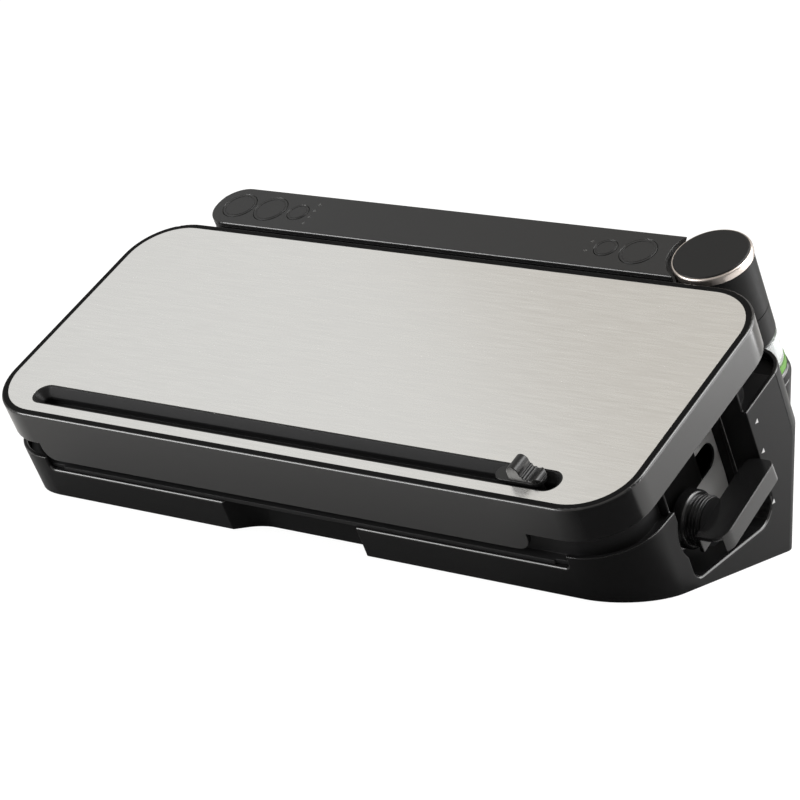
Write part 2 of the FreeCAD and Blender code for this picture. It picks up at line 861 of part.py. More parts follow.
def bay_blocks(grow, top):
    """Cut-backs at both rear corners down to their round stock, and the hand sealer's bay at the right."""
    low = -dock_rim - grow
    bays = [corner.cut(corner_stock(grow, top)) for corner in corner_blocks(grow, low)]
    bays.append(drum(handheld_across, handheld_setback, bay_radius + grow, low, far))
    return [lean(bay) for bay in bays]


def corner_recesses():
    """Hollows inside the rim at the rear corners, level with the deck plate's seat."""
    stock = corner_stock(wall, far)
    return [lean(corner.common(stock)) for corner in corner_blocks(0, -front_rim)]


def pocket_slot():
    """Long round-ended slot in the pocket's inner wall."""
    radius = pocket_slot_width / 2
    front = pocket_slot_front + radius
    back = pocket_slot_back - radius
    x0 = pocket_floor - wall
    x1 = pocket_floor + wall
    straight = block(x0, x1, front, back, -pocket_slot_drop - radius, -pocket_slot_drop + radius)
    return straight.fuse([rod(y, -pocket_slot_drop, radius, x0, x1) for y in (front, back)])


def pocket_rib():
    """Upright rib on the pocket's back wall."""
    half = rib_width / 2
    return block(rib_across - half, rib_across + half, window_back - rib_height, window_back, -far, far)


def window_notch():
    """Shallow round notch in the window's front edge, ahead of the lever's hub."""
    middle = window_front - notch_depth + notch_radius
    notch = rod(middle, -notch_drop, notch_radius, half_width - notch_reach, half_width + wall)
    return notch.common(block(-far, far, -far, window_front, -far, far))


def wire_opening():
    """Opening in the shoulder for the panel's wires."""
    margin = 3 * wall
    return block(panel_left + panel_round, panel_right - 2 * bay_radius, panel_front + margin,
                 panel_back - panel_depth / 2, -shoulder_drop - 2 * wall, -shoulder_drop + wall)


def build_bottom_cover():
    cover = body_blank(wall + seat_gap, foot_height, -corner_rim)
    cover = cover.common(block(-far, far, -far, far, foot_height, cover_top))
    cover = cover.cut(lean(scoop_blank(wall + seat_gap)))
    cradles = []
    for x in (motor_right - motor_length + cradle_width, motor_right - 2 * cradle_width):
        cradles.append(block(x, x + cradle_width, motor_setback - motor_radius, motor_setback + motor_radius,
                             cover_top, cover_top + cradle_height))
    posts = [drum(x, y, post_radius, cover_top, cover_top + main_post_height) for x, y in main_post_places()]
    cover = cover.fuse(cradles + posts)
    cuts = [rod(motor_setback, motor_axis_z, motor_radius + press_gap, -half_width, half_width)]
    cuts += [drum(x, y, screw_radius + seat_gap, 0, cover_top) for x, y in boss_places]
    cuts += [drum(x, y, screw_head_radius + seat_gap, 0, foot_height + screw_head) for x, y in boss_places]
    cuts += [drum(x, y, foot_radius + press_gap, 0, foot_height + foot_sink) for x, y in foot_places]
    for i in range(vent_count):
        x = half_width / 2 + i * vent_pitch
        cuts.append(block(x, x + vent_width, motor_setback - vent_length, motor_setback, 0, cover_top))
    return cover.cut(cuts).removeSplitter()


def main_post_places():
    inset = 2 * post_radius
    rows = (main_board_front + inset, main_board_back - inset)
    return [(x, y) for x in (main_board_left + inset, main_board_right - inset) for y in rows]


def build_rubber_feet():
    feet = []
    for x, y in foot_places:
        foot = drum(x, y, foot_radius, 0, foot_height + foot_sink)
        feet.append(foot.makeChamfer(foot_height / 2, edges_at(foot, 0)))
    return group(feet)


def build_rear_housing():
    inside = block(-far, far, -far, back_y, 0, far)
    shell = lean(panel_blank(0, -shoulder_drop, panel_under)).common(inside)
    core = lean(panel_blank(housing_wall, -shoulder_drop - 1, panel_rise))
    core = core.common(block(-far, far, -far, back_y - housing_wall, 0, far))
    return shell.cut(core).removeSplitter()


def build_deck_plate():
    inset = wall + side_gap
    half = half_width - inset
    low = -front_rim
    top = low + flange_thickness
    flange = block(-half, half, inset, far, low, top, lid_corner - inset)
    flange = flange.common(block(-half, half, 0, shoulder_depth - inset, low, top))
    lip = block(-flange_front_half, flange_front_half, wall - flange_overlap, 2 * lid_corner, low, top)
    front = plateau_inset
    half = plateau_half
    plateau = block(-half, half, front, plateau_back, low, -plateau_drop, plateau_corner)
    front += wall
    half -= wall
    hollow = block(-half, half, front, plateau_back - wall, low, plateau_under, plateau_corner - wall)
    deck = flange.fuse([lip, plateau]).cut(hollow)
    grow = pocket_wall
    half = chamber_half + grow
    chamber_wall = block(-half, half, chamber_front - grow, chamber_back + grow,
                         chamber_floor - grow, -plateau_drop, chamber_corner + grow)
    deck = deck.fuse([chamber_wall, roll_bay(pocket_wall, -plateau_drop)])
    cuts = [chamber_space(), roll_bay(0, 0), ring_blank(-plateau_drop - gasket_groove, 0)]
    margin = pocket_wall + side_gap
    cuts.append(block(pocket_floor - margin, far, window_front - margin, window_back + margin, -far, far))
    cuts.append(cut_groove())
    for x in claw_places:
        cuts.append(catch_slot(x))
    return deck.cut(cuts)


def chamber_space():
    """Hollow of the vacuum chamber."""
    return block(-chamber_half, chamber_half, chamber_front, chamber_back, chamber_floor, 0, chamber_corner)


def cut_groove():
    """Groove in the deck that the blade runs along."""
    half = cut_groove_width / 2
    floor = -plateau_drop - cut_groove_depth
    return block(slot_left, slot_right, slot_setback - half, slot_setback + half, floor, 0)


def catch_slot(x):
    """Opening in the deck for a lid catch, long enough for the catch's arc as the lid turns."""
    arm = math.hypot(hinge_y - catch_front, hinge_z - catch_bottom)
    rise = hinge_z + plateau_drop
    front = hinge_y - math.sqrt(arm * arm - rise * rise) - free_gap
    back = catch_stem_front + catch_stem + 2 * free_gap
    half = claw_width / 2 + 2 * free_gap
    return block(x - half, x + half, front, back, plateau_under - 1, 0)


def roll_bay(grow, top):
    """Trough for a roll of film: a half round floor with upright sides."""
    axis_z = -(plateau_drop + roll_sink)
    radius = roll_radius + grow
    half = roll_half + grow
    front = roll_centre - radius
    back = roll_centre + radius
    sides = block(-half, half, front, back, axis_z, top)
    floor = rod(roll_centre, axis_z, radius, -half, half)
    floor = floor.common(block(-half, half, front, back, axis_z - radius, axis_z))
    return sides.fuse(floor).removeSplitter()


def finish_deck(deck):
    """Spigot under the chamber for the vacuum tube, square to the table."""
    top = deck_z(chamber_back, chamber_floor)
    spigot = drum(tube_across, tube_rise, port_radius, port_height, top)
    spigot = spigot.cut(lean(chamber_space()))
    bore = drum(tube_across, tube_rise, tube_bore, port_height, top + chamber_depth)
    return lean(deck).fuse(spigot).cut(bore).removeSplitter()


def build_sealing_bar():
    return strip_bed(-plateau_drop, -plateau_drop + seal_height)


def build_heater_strip():
    low = -plateau_drop + seal_height
    across = heater_width / 2
    along = seal_half - seal_width / 2
    return block(-along, along, seal_setback - across, seal_setback + across, low, low + heater_thickness)


def tray_blank(gap, low):
    """Chamber outline drawn in by a gap, up to the tray's lip."""
    half = chamber_half - gap
    top = -plateau_drop - tray_lip
    return block(-half, half, chamber_front + gap, chamber_back - gap, low, top, chamber_corner - gap)


def build_drip_tray():
    low = chamber_floor + seat_gap
    return tray_blank(side_gap, low).cut(tray_blank(side_gap + tray_wall, low + tray_wall))


# Hinge, lever and latch


def build_hinge_brackets():
    brackets = []
    half = bracket_width / 2
    for x in hinge_places:
        bracket = hinge_profile(x - half, x + half, -shoulder_drop)
        sole = block(x - half, x + half, hinge_y - bracket_foot / 2, hinge_y + bracket_foot / 2,
                     -shoulder_drop, -shoulder_drop + bracket_sole)
        bore = rod(hinge_y, hinge_z, hinge_pin_radius + press_gap, x - half, x + half)
        brackets.append(bracket.fuse(sole).cut(bore).removeSplitter())
    return group(brackets)


def build_hinge_pins():
    half = bracket_width / 2 + free_gap + ear_width
    return group([rod(hinge_y, hinge_z, hinge_pin_radius, x - half, x + half) for x in hinge_places])


def build_shaft_bearings():
    bore = shaft_radius + running_gap
    inner = pocket_floor - pocket_wall - bush_flange
    bush = rod(pivot_setback, -pivot_drop, bush_radius, inner, pocket_floor + bush_flange)
    flange = rod(pivot_setback, -pivot_drop, bush_flange_radius, inner, inner + bush_flange)
    bush = bush.fuse(flange).cut(rod(pivot_setback, -pivot_drop, bore, inner, half_width)).removeSplitter()
    y = deck_y(pivot_setback, -pivot_drop)
    z = deck_z(pivot_setback, -pivot_drop)
    left = -claw_spread - claw_width / 2 - free_gap - pillar_width
    pillar = block(left, left + pillar_width, y - pillar_depth / 2, y + pillar_depth / 2, cover_top, z)
    pillar = pillar.fuse(rod(y, z, pillar_depth / 2, left, left + pillar_width))
    pillar = pillar.cut(rod(y, z, bore, -half_width, half_width)).removeSplitter()
    return group([lean(bush), pillar])


def hub_inner():
    return pocket_floor + bush_flange + free_gap


def build_latch_shaft():
    left = -claw_spread - claw_width / 2 - free_gap - pillar_width
    shaft = rod(pivot_setback, -pivot_drop, shaft_radius, left, arm_inner)
    return shaft.cut(rod(pivot_setback, -pivot_drop, lever_screw_radius + press_gap, hub_inner(), arm_inner))


def build_lever_hub():
    start = hub_inner()
    flange = rod(pivot_setback, -pivot_drop, hub_radius, start, start + hub_flange)
    rim = [edge for edge in flange.Edges if edge.BoundBox.XLength < 1e-4]
    flange = flange.makeChamfer(hub_edge, rim)
    step = rod(pivot_setback, -pivot_drop, hub_step_radius, start, arm_inner)
    bore = rod(pivot_setback, -pivot_drop, shaft_radius + press_gap, start, arm_inner)
    return flange.fuse(step).cut(bore).removeSplitter()


def build_lever_arm():
    y0 = pivot_setback - arm_tail
    y1 = pivot_setback + arm_reach
    half = arm_thickness / 2
    arm = block(arm_inner, arm_outer, y0, y1, -pivot_drop - half, -pivot_drop + half)
    nose = edges_along(arm, vec(0, 0, 1), (arm_outer - 1, y0 - 1, -far), (arm_outer + 1, y0 + 1, far))
    arm = arm.makeFillet(arm_nose_round, nose)
    tip = edges_along(arm, vec(0, 0, 1), (arm_inner - 1, y1 - 1, -far), (arm_outer + 1, y1 + 1, far))
    arm = arm.makeFillet(arm_tip_round, tip)
    hollow = block(arm_inner + arm_wall, arm_outer - arm_wall, y0 - 1, y1 - arm_wall,
                   -pivot_drop - half - 1, -pivot_drop + half - arm_wall)
    inner_tip = edges_along(hollow, vec(0, 0, 1), (-far, y1 - arm_wall - 1, -far), (far, y1, far))
    hollow = hollow.makeFillet(arm_tip_round - arm_wall, inner_tip)
    hole_radius = lever_screw_radius + press_gap
    hole = rod(pivot_setback, -pivot_drop, hole_radius, arm_inner - 1, arm_outer - arm_wall)
    return swung(arm.cut([hollow, hole]).removeSplitter(), pivot_setback, -pivot_drop, arm_lift)


def build_lever_screw():
    seat = arm_inner + arm_wall
    shank = rod(pivot_setback, -pivot_drop, lever_screw_radius, hub_inner() + hub_flange, seat)
    half = arm_thickness / 2 - arm_wall
    head = rod(pivot_setback, -pivot_drop, min(lever_screw_head, half) - seat_gap, seat, seat + screw_head)
    return shank.fuse(head).removeSplitter()


def build_latch_claws():
    """Hooks that stand ahead of the catches at rest and swing back over them."""
    claws = []
    top_z = -pivot_drop + claw_height
    half = claw_arm / 2
    for x in claw_places:
        x0 = x - claw_width / 2
        x1 = x + claw_width / 2
        arm = [(pivot_setback - half, -pivot_drop), (pivot_setback + half, -pivot_drop)]
        arm += [(catch_front, top_z - claw_nose), (catch_front + claw_hook, top_z - claw_nose)]
        arm += [(catch_front + claw_hook, top_z - claw_nose / 2), (claw_top + half, top_z)]
        arm += [(claw_top - half, top_z)]
        claw = strip(arm, x0, x1).fuse(rod(pivot_setback, -pivot_drop, claw_hub_radius, x0, x1))
        claw = claw.cut(rod(pivot_setback, -pivot_drop, shaft_radius + press_gap, x0, x1)).removeSplitter()
        claws.append(swung(claw, pivot_setback, -pivot_drop, operate_turn))
    return group(claws)


# Control panel


def button_list():
    return {
        "vacuum_button": (vacuum_place, button_radius),
        "seal_button": (seal_place, button_radius),
        "food_mode_button": (food_mode_place, mode_radius),
        "handheld_mode_button": (handheld_mode_place, mode_radius),
        "handheld_button": (handheld_place, button_radius),
    }


def light_places():
    places = []
    columns = ((food_light_place, food_light_count, food_light_pitch),
               (handheld_light_place, handheld_light_count, handheld_light_pitch))
    for x, count, pitch in columns:
        first = button_line - pitch * (count - 1) / 2
        places += [(x, first + i * pitch) for i in range(count)]
    return places


def board_span():
    """Ends of the button board under the panel."""
    left = vacuum_place - 1.5 * switch_radius
    right = handheld_place + 1.5 * switch_radius
    return left, right


def post_places():
    left, right = board_span()
    rows = (board_front + 2 * post_radius, board_back - 2 * post_radius)
    places = ((seal_place + food_light_place) / 2, (left + right) / 2)
    columns = [x + 2 * button_radius for x in places]
    return [(x, y) for x in columns for y in rows]


def build_control_panel():
    panel = panel_blank(0, panel_under, panel_rise, panel_edge)
    panel = lean(panel).common(block(-far, far, -far, back_y, 0, far))
    cuts = []
    for x, radius in button_list().values():
        cuts.append(drum(x, button_line, radius + side_gap, panel_under, panel_rise))
    cuts += [drum(x, y, light_radius + press_gap, panel_under, panel_rise) for x, y in light_places()]
    posts = [drum(x, y, post_radius, board_top, panel_under) for x, y in post_places()]
    panel = panel.fuse([lean(post) for post in posts])
    return panel.cut([lean(cut) for cut in cuts]).removeSplitter()


def build_button(x, radius):
    top = panel_rise + button_rise
    cap = drum(x, button_line, radius, button_low, top)
    cap = cap.makeChamfer(button_rise, edges_at(cap, top))
    flange = drum(x, button_line, radius + button_flange, button_low, button_low + button_flange_thickness)
    stem = drum(x, button_line, stem_radius, button_low - stem_length, button_low)
    return cap.fuse([flange, stem]).removeSplitter()


def build_button_board():
    left, right = board_span()
    board = block(left, right, board_front, board_back, board_low, board_top)
    switches = []
    for x, radius in button_list().values():
        switches.append(drum(x, button_line, switch_radius, board_top, board_top + switch_height))
    return board.fuse(switches).removeSplitter()


def build_status_lights():
    return group([drum(x, y, light_radius, board_top, panel_rise) for x, y in light_places()])


# Hand sealer and dock


def build_handheld_cap():
    outer = ring_radius - ring_lip - press_gap
    low = cap_rise - cap_thickness
    dish = cap_rise - cap_dish
    points = [(0, low), (outer, low), (outer, dish), (outer - cap_dish, cap_rise)]
    points += [(outer - 3 * ring_lip, cap_rise), (0, dish)]
    return turned(points, handheld_across, handheld_setback)


def build_handheld_ring():
    inner = ring_radius - ring_lip
    top = cap_rise - cap_dish
    low = top - ring_height
    points = [(inner, low), (ring_radius, low), (ring_radius, top - ring_lip)]
    points += [(ring_radius - ring_lip / 2, top), (inner, top)]
    return turned(points, handheld_across, handheld_setback)


def ring_low():
    return cap_rise - cap_dish - ring_height


def build_handheld_barrel():
    inner = barrel_radius - barrel_wall
    top = ring_low()
    low = -barrel_seam + seam_groove
    neck = ring_radius - ring_lip - press_gap
    cap_low = cap_rise - cap_thickness
    points = [(inner, low), (barrel_radius, low), (barrel_radius, top)]
    points += [(neck, top), (neck, cap_low), (inner, cap_low)]
    return turned(points, handheld_across, handheld_setback)


def build_handheld_lower_barrel():
    """Lower sleeve with a turned-in foot, a spigot into the upper barrel and a socket for the reservoir."""
    inner = barrel_radius - barrel_wall
    spigot = inner - press_gap
    lip = reservoir_radius - reservoir_wall
    points = [(lip, -barrel_bottom), (barrel_radius - barrel_foot_round, -barrel_bottom)]
    for i in range(1, barrel_foot_steps + 1):
        turn = math.pi / 2 * i / barrel_foot_steps
        out = barrel_foot_round * math.sin(turn)
        rise = barrel_foot_round * (1 - math.cos(turn))
        points.append((barrel_radius - barrel_foot_round + out, rise - barrel_bottom))
    top = -barrel_seam + barrel_foot_round
    points += [(barrel_radius, -barrel_seam), (spigot, -barrel_seam), (spigot, top), (lip, top)]
    return turned(points, handheld_across, handheld_setback)


def build_reservoir():
    """Clear liquid catcher: a wide drum with an inturned top edge, narrower inside the dock."""
    outer = reservoir_radius
    inner = outer - reservoir_wall
    top = -barrel_bottom
    low = -reservoir_bottom
    floor = low + reservoir_wall
    mouth = nozzle_radius + press_gap
    wide = reservoir_top_radius
    wide_inner = wide - reservoir_wall
    step = -band_top
    roof = top - reservoir_wall
    points = [(wide, top), (wide, step), (outer, step), (outer, -reservoir_shoulder)]
    points += [(reservoir_neck, low), (mouth, low), (mouth, floor)]
    points += [(reservoir_neck - reservoir_wall / 2, floor), (inner, -reservoir_shoulder)]
    points += [(inner, step + reservoir_wall), (wide_inner, step + reservoir_wall)]
    points += [(wide_inner, roof), (inner, roof), (inner, top)]
    return turned(points, handheld_across, handheld_setback)


def build_reservoir_band():
    inner = reservoir_radius + press_gap
    low = -band_top - band_height
    points = [(inner, -band_top), (band_radius, -band_top), (band_radius, low), (inner, low)]
    return turned(points, handheld_across, handheld_setback)


def build_suction_nozzle():
    top = -reservoir_bottom + reservoir_wall
    flange = nozzle_radius + reservoir_wall
    low = -nozzle_bottom
    tip = nozzle_radius - reservoir_wall
    points = [(nozzle_bore, low), (tip, low), (nozzle_radius, low + reservoir_wall), (nozzle_radius, top)]
    points += [(flange, top), (flange, top + reservoir_wall), (nozzle_bore, top + reservoir_wall)]
    return turned(points, handheld_across, handheld_setback)


def on_column_top(point):
    """True for a point in the sloping plane of the dock column's top."""
    drop = (point.z - deck_height) * cosine - point.y * sine
    return abs(drop + dock_rim + dock_lip) < 1e-4


def build_dock_cup():
    """Upright column behind the right bay, with a leaning cup for the hand sealer."""
    column = drum(handheld_across, dock_y, dock_radius, foot_height, far)
    left = handheld_across - dock_radius
    neck = block(left, left + 2 * dock_radius, back_y, dock_y, foot_height, far)
    column = column.fuse(neck).removeSplitter()
    column = column.cut(lean(block(-far, far, -far, 2 * far, -dock_rim - dock_lip, 2 * far)))
    rim = [edge for edge in column.Edges if all(on_column_top(vertex.Point) for vertex in edge.Vertexes)]
    column = column.makeChamfer(dock_edge, rim)
    cup_low = -dock_rim - dock_lip - dock_edge
    cup = drum(handheld_across, handheld_setback, dock_cup_radius, cup_low, -dock_rim)
    cup = cup.makeChamfer(dock_edge, edges_at(cup, -dock_rim))
    column = column.fuse(lean(cup))
    gap = dock_cup_gap
    wide = reservoir_radius + gap
    narrow = nozzle_radius + gap
    step = -reservoir_bottom - gap
    floor = -nozzle_bottom - gap
    points = [(0, 0), (wide, 0), (wide, -reservoir_shoulder - gap), (reservoir_neck + gap, step)]
    points += [(narrow, step), (narrow, floor), (0, floor)]
    return column.cut(lean(turned(points, handheld_across, handheld_setback))).removeSplitter()


# Works inside the lower body


def build_pump_motor():
    left = motor_right - motor_length
    can = rod(motor_setback, motor_axis_z, motor_radius, left, motor_right)
    collar = rod(motor_setback, motor_axis_z, motor_radius / 2, left - motor_lift, left)
    return can.fuse(collar).removeSplitter()


def build_pump_head():
    y0 = motor_setback - pump_depth / 2
    head = block(motor_right, motor_right + pump_length, y0, y0 + pump_depth,
                 cover_top, cover_top + pump_height, motor_lift)
    bore = Part.makeCylinder(tube_bore, pump_depth / 2, vec(tube_across, y0, tube_height), vec(0, 1, 0))
    return head.cut(bore)


def build_vacuum_tube():
    """Bent tube from the pump head to the chamber's spigot."""
    corners = [vec(tube_across, motor_setback - pump_depth / 2, tube_height)]
    corners.append(vec(tube_across, tube_rise + tube_bend, tube_height))
    corners.append(vec(tube_across, tube_rise, tube_height + tube_bend))
    corners.append(vec(tube_across, tube_rise, port_height))
    path = Part.makePolygon(corners)
    solids = []
    for radius in (tube_radius, tube_bore):
        circle = Part.Wire(Part.makeCircle(radius, corners[0], vec(0, 1, 0)))
        solids.append(path.makePipeShell([circle], True, False, 1))
    return solids[0].cut(solids[1])


def build_transformer():
    y0 = core_back - core_depth
    core = block(core_left, core_left + core_length, y0, core_back, cover_top, cover_top + core_height)
    middle = core_left + core_length / 2
    winding = block(middle - winding_length / 2, middle + winding_length / 2, y0 - winding_bulge, core_back,
                    cover_top + winding_bulge, cover_top + core_height + winding_bulge, winding_bulge / 2)
    return core.fuse(winding).removeSplitter()


def build_main_board():
    low = cover_top + main_post_height
    top = low + board_thickness
    board = block(main_board_left, main_board_right, main_board_front, main_board_back, low, top)
    inset = 4 * post_radius
    can = drum(main_board_left + 2 * inset, main_board_back - 2 * inset, inset, top, top + inset)
    relay = block(main_board_right - 4 * inset, main_board_right - 2 * inset, main_board_front + inset,
                  main_board_front + 3 * inset, top, top + inset)
    return board.fuse([can, relay]).removeSplitter()


def build_cord_gland():
    """Round inlet bush in the back wall."""
    axis = vec(0, 1, 0)
    start = vec(gland_across, back_y - wall, gland_height)
    bush = Part.makeCylinder(gland_radius, wall + gland_flange, start, axis)
    face = vec(gland_across, back_y, gland_height)
    flange = Part.makeCylinder(gland_flange_radius, gland_flange, face, axis)
    outer = [edge for edge in flange.Edges if edge.CenterOfMass.y > back_y + gland_flange / 2]
    flange = flange.makeChamfer(gland_flange / 2, outer)
    bore = Part.makeCylinder(gland_bore, far, vec(gland_across, 0, gland_height), axis)
    return bush.fuse(flange).cut(bore).removeSplitter()


def build_case_screws():
    screws = []
    for x, y in boss_places:
        shank = drum(x, y, screw_radius, foot_height, foot_height + screw_length)
        head = drum(x, y, screw_head_radius, foot_height, foot_height + screw_head)
        screws.append(shank.fuse(head).removeSplitter())
    return group(screws)


def main():
    os.makedirs("parts", exist_ok=True)
    deck_pieces = {
        "lid_shell": build_lid_shell,
        "steel_plate": build_steel_plate,
        "lid_liner": build_lid_liner,
        "upper_gasket": build_upper_gasket,
        "pressure_strip": build_pressure_strip,
        "cutter_track": build_cutter_track,
        "lid_catches": build_lid_catches,
        "lid_screws": build_lid_screws,
        "cutter_slide": build_cutter_slide,
        "cutter_blade": build_cutter_blade,
        "sealing_bar": build_sealing_bar,
        "heater_strip": build_heater_strip,
        "drip_tray": build_drip_tray,
        "lower_gasket": build_lower_gasket,
        "hinge_brackets": build_hinge_brackets,
        "hinge_pins": build_hinge_pins,
        "latch_shaft": build_latch_shaft,
        "latch_claws": build_latch_claws,
        "lever_hub": build_lever_hub,
        "lever_arm": build_lever_arm,
        "lever_screw": build_lever_screw,
        "button_board": build_button_board,
        "status_lights": build_status_lights,
        "handheld_cap": build_handheld_cap,
        "handheld_ring": build_handheld_ring,
        "handheld_barrel": build_handheld_barrel,
        "handheld_lower_barrel": build_handheld_lower_barrel,
        "reservoir": build_reservoir,
        "reservoir_band": build_reservoir_band,
        "suction_nozzle": build_suction_nozzle,
    }
    level_pieces = {
        "base_shell": build_base_shell,
        "bottom_cover": build_bottom_cover,
        "rubber_feet": build_rubber_feet,
        "rear_housing": build_rear_housing,
        "control_panel": build_control_panel,
        "shaft_bearings": build_shaft_bearings,
        "dock_cup": build_dock_cup,
        "pump_motor": build_pump_motor,
        "pump_head": build_pump_head,
        "vacuum_tube": build_vacuum_tube,
        "transformer": build_transformer,
        "main_board": build_main_board,
        "cord_gland": build_cord_gland,
        "case_screws": build_case_screws,
    }
    for name, build in deck_pieces.items():
        save(name, lean(build()))
    for name, (x, radius) in button_list().items():
        save(name, lean(build_button(x, radius)))
    save("deck_plate", finish_deck(build_deck_plate()))
    for name, build in level_pieces.items():
        save(name, build())


main()
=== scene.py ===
# %% [markdown]
# This lesson dresses a countertop vacuum sealer. The imported CAD model is the fixed frame: every
# piece below is built where the CAD says, in metres, with X to the right, Y to the back and Z up.

# %% Load the frame
import bpy
import json
import math
from mathutils import Matrix, Vector

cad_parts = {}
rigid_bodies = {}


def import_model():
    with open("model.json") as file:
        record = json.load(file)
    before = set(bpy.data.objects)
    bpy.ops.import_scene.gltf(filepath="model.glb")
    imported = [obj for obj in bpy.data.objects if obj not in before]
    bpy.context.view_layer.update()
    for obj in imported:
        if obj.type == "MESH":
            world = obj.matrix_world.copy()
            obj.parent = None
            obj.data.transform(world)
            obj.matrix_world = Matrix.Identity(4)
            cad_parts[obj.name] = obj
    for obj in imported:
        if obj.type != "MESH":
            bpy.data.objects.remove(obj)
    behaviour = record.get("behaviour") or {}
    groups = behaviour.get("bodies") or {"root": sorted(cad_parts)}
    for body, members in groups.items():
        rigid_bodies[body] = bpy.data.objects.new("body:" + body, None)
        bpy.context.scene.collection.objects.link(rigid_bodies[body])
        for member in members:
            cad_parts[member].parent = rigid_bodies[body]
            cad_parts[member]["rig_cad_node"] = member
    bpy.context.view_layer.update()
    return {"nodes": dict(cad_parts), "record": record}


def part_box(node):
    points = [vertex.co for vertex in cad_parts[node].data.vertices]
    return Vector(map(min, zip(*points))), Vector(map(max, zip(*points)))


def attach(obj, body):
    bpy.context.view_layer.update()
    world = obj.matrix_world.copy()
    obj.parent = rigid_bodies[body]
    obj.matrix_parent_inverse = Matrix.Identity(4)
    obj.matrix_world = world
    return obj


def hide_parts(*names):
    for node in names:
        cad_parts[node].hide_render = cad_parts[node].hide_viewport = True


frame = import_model()
scene = bpy.context.scene
scene.view_settings.view_transform = "Standard"
mm = 0.001

# %% [markdown]
# The lid, its cutter and the button panel lie on a deck that slopes up to the back by 30 degrees.
# It is easier to think along the slope than in level coordinates, so one helper turns a place on
# the deck (across, up the slope from the lid's front edge, above the lid) into the frame's place.

# %% A helper for places on the sloping deck
deck_tilt = math.radians(30)
rim_set_back = 0.512 * mm
deck_height = 51 * mm
lid_low, lid_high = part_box("lid_shell")
deck_middle = (lid_low.x + lid_high.x) / 2
deck_front = lid_low.y - rim_set_back
deck_turn = Matrix.Rotation(deck_tilt, 4, "X")


def on_deck(across, up, above):
    flat = Vector((across * mm, up * mm, above * mm))
    return deck_turn @ flat + Vector((deck_middle, deck_front, deck_height))


print("middle of the lid's top", on_deck(0, 85, 0))

# %% [markdown]
# The photograph was taken from the front right, a little above the lid, through a long lens, so
# that the edges hardly converge. The camera's place, aim and lens were solved from the corners of
# the lid. Depth of field stays off, because a product picture is sharp all over.

# %% Camera
camera_data = bpy.data.cameras.new("camera")
camera_data.lens = 134.2
camera_data.sensor_width = 36
camera_data.clip_end = 100
camera = bpy.data.objects.new("camera", camera_data)
scene.collection.objects.link(camera)
aim = Vector((-0.5928, 0.7778, -0.2089)).normalized()
side = aim.cross(Vector((0, 0, 1))).normalized()
upright = side.cross(aim)
turn = Matrix((side, upright, -aim)).transposed().to_4x4()
spot = on_deck(0, 4, 0) + Vector((0.9321, -1.1178, 0.3379))
camera.matrix_world = Matrix.Translation(spot) @ turn
scene.camera = camera
print("camera stands at", spot)

# %% [markdown]
# The stage is a white floor that fills the picture. The camera sees it mostly as plain white, mixed
# with a share of the lit floor, so that the sealer keeps a faint shadow. Shiny pieces mirror mainly
# the lit floor, with only a little of the plain white.

# %% Floor
plain_share = 0.8
mirrored_share = 0.1


def fresh_nodes(owner):
    owner.use_nodes = True
    owner.node_tree.nodes.clear()
    return owner.node_tree.nodes, owner.node_tree.links


bpy.ops.object.select_all(action="DESELECT")
bpy.ops.mesh.primitive_plane_add(size=40)
floor = bpy.context.active_object
floor.name = "floor"
floor_paint = bpy.data.materials.new("floor white")
nodes, links = fresh_nodes(floor_paint)
seen = nodes.new("ShaderNodeLightPath")
lit = nodes.new("ShaderNodeBsdfDiffuse")
lit.inputs["Color"].default_value = (0.8, 0.8, 0.8, 1)
plain = nodes.new("ShaderNodeEmission")
plain.inputs["Strength"].default_value = 1.2
through = nodes.new("ShaderNodeMath")
through.operation = "ADD"
through.use_clamp = True
mirrored = nodes.new("ShaderNodeMath")
mirrored.operation = "MULTIPLY_ADD"
mirrored.inputs[1].default_value = mirrored_share
share = nodes.new("ShaderNodeMath")
share.operation = "MULTIPLY"
share.inputs[1].default_value = plain_share
blend = nodes.new("ShaderNodeMixShader")
output = nodes.new("ShaderNodeOutputMaterial")
links.new(seen.outputs["Is Camera Ray"], through.inputs[0])
links.new(seen.outputs["Is Transmission Ray"], through.inputs[1])
links.new(seen.outputs["Is Glossy Ray"], mirrored.inputs[0])
links.new(through.outputs[0], mirrored.inputs[2])
links.new(mirrored.outputs[0], share.inputs[0])
links.new(share.outputs[0], blend.inputs["Fac"])
links.new(lit.outputs[0], blend.inputs[1])
links.new(plain.outputs[0], blend.inputs[2])
links.new(blend.outputs[0], output.inputs["Surface"])
floor.data.materials.append(floor_paint)
print("floor", floor.name)

# %% [markdown]
# The room above is bright overhead and dim at the horizon, as a studio is. The dim part leaves the
# black plastic black at the front.

# %% Room
full_height = 0.75
room = bpy.data.worlds.new("studio room")
scene.world = room
nodes, links = fresh_nodes(room)
direction = nodes.new("ShaderNodeTexCoord")
split = nodes.new("ShaderNodeSeparateXYZ")
height = nodes.new("ShaderNodeMapRange")
height.inputs["From Min"].default_value = 0.0
height.inputs["From Max"].default_value = full_height
shade = nodes.new("ShaderNodeMix")
shade.data_type = "RGBA"
shade.inputs["A"].default_value = (0.22, 0.22, 0.22, 1)
shade.inputs["B"].default_value = (0.86, 0.83, 0.78, 1)
glow = nodes.new("ShaderNodeBackground")
output = nodes.new("ShaderNodeOutputWorld")
links.new(direction.outputs["Generated"], split.inputs[0])
links.new(split.outputs["Z"], height.inputs["Value"])
links.new(height.outputs["Result"], shade.inputs["Factor"])
links.new(shade.outputs["Result"], glow.inputs["Color"])
links.new(glow.outputs[0], output.inputs["Surface"])
print("room", room.name)

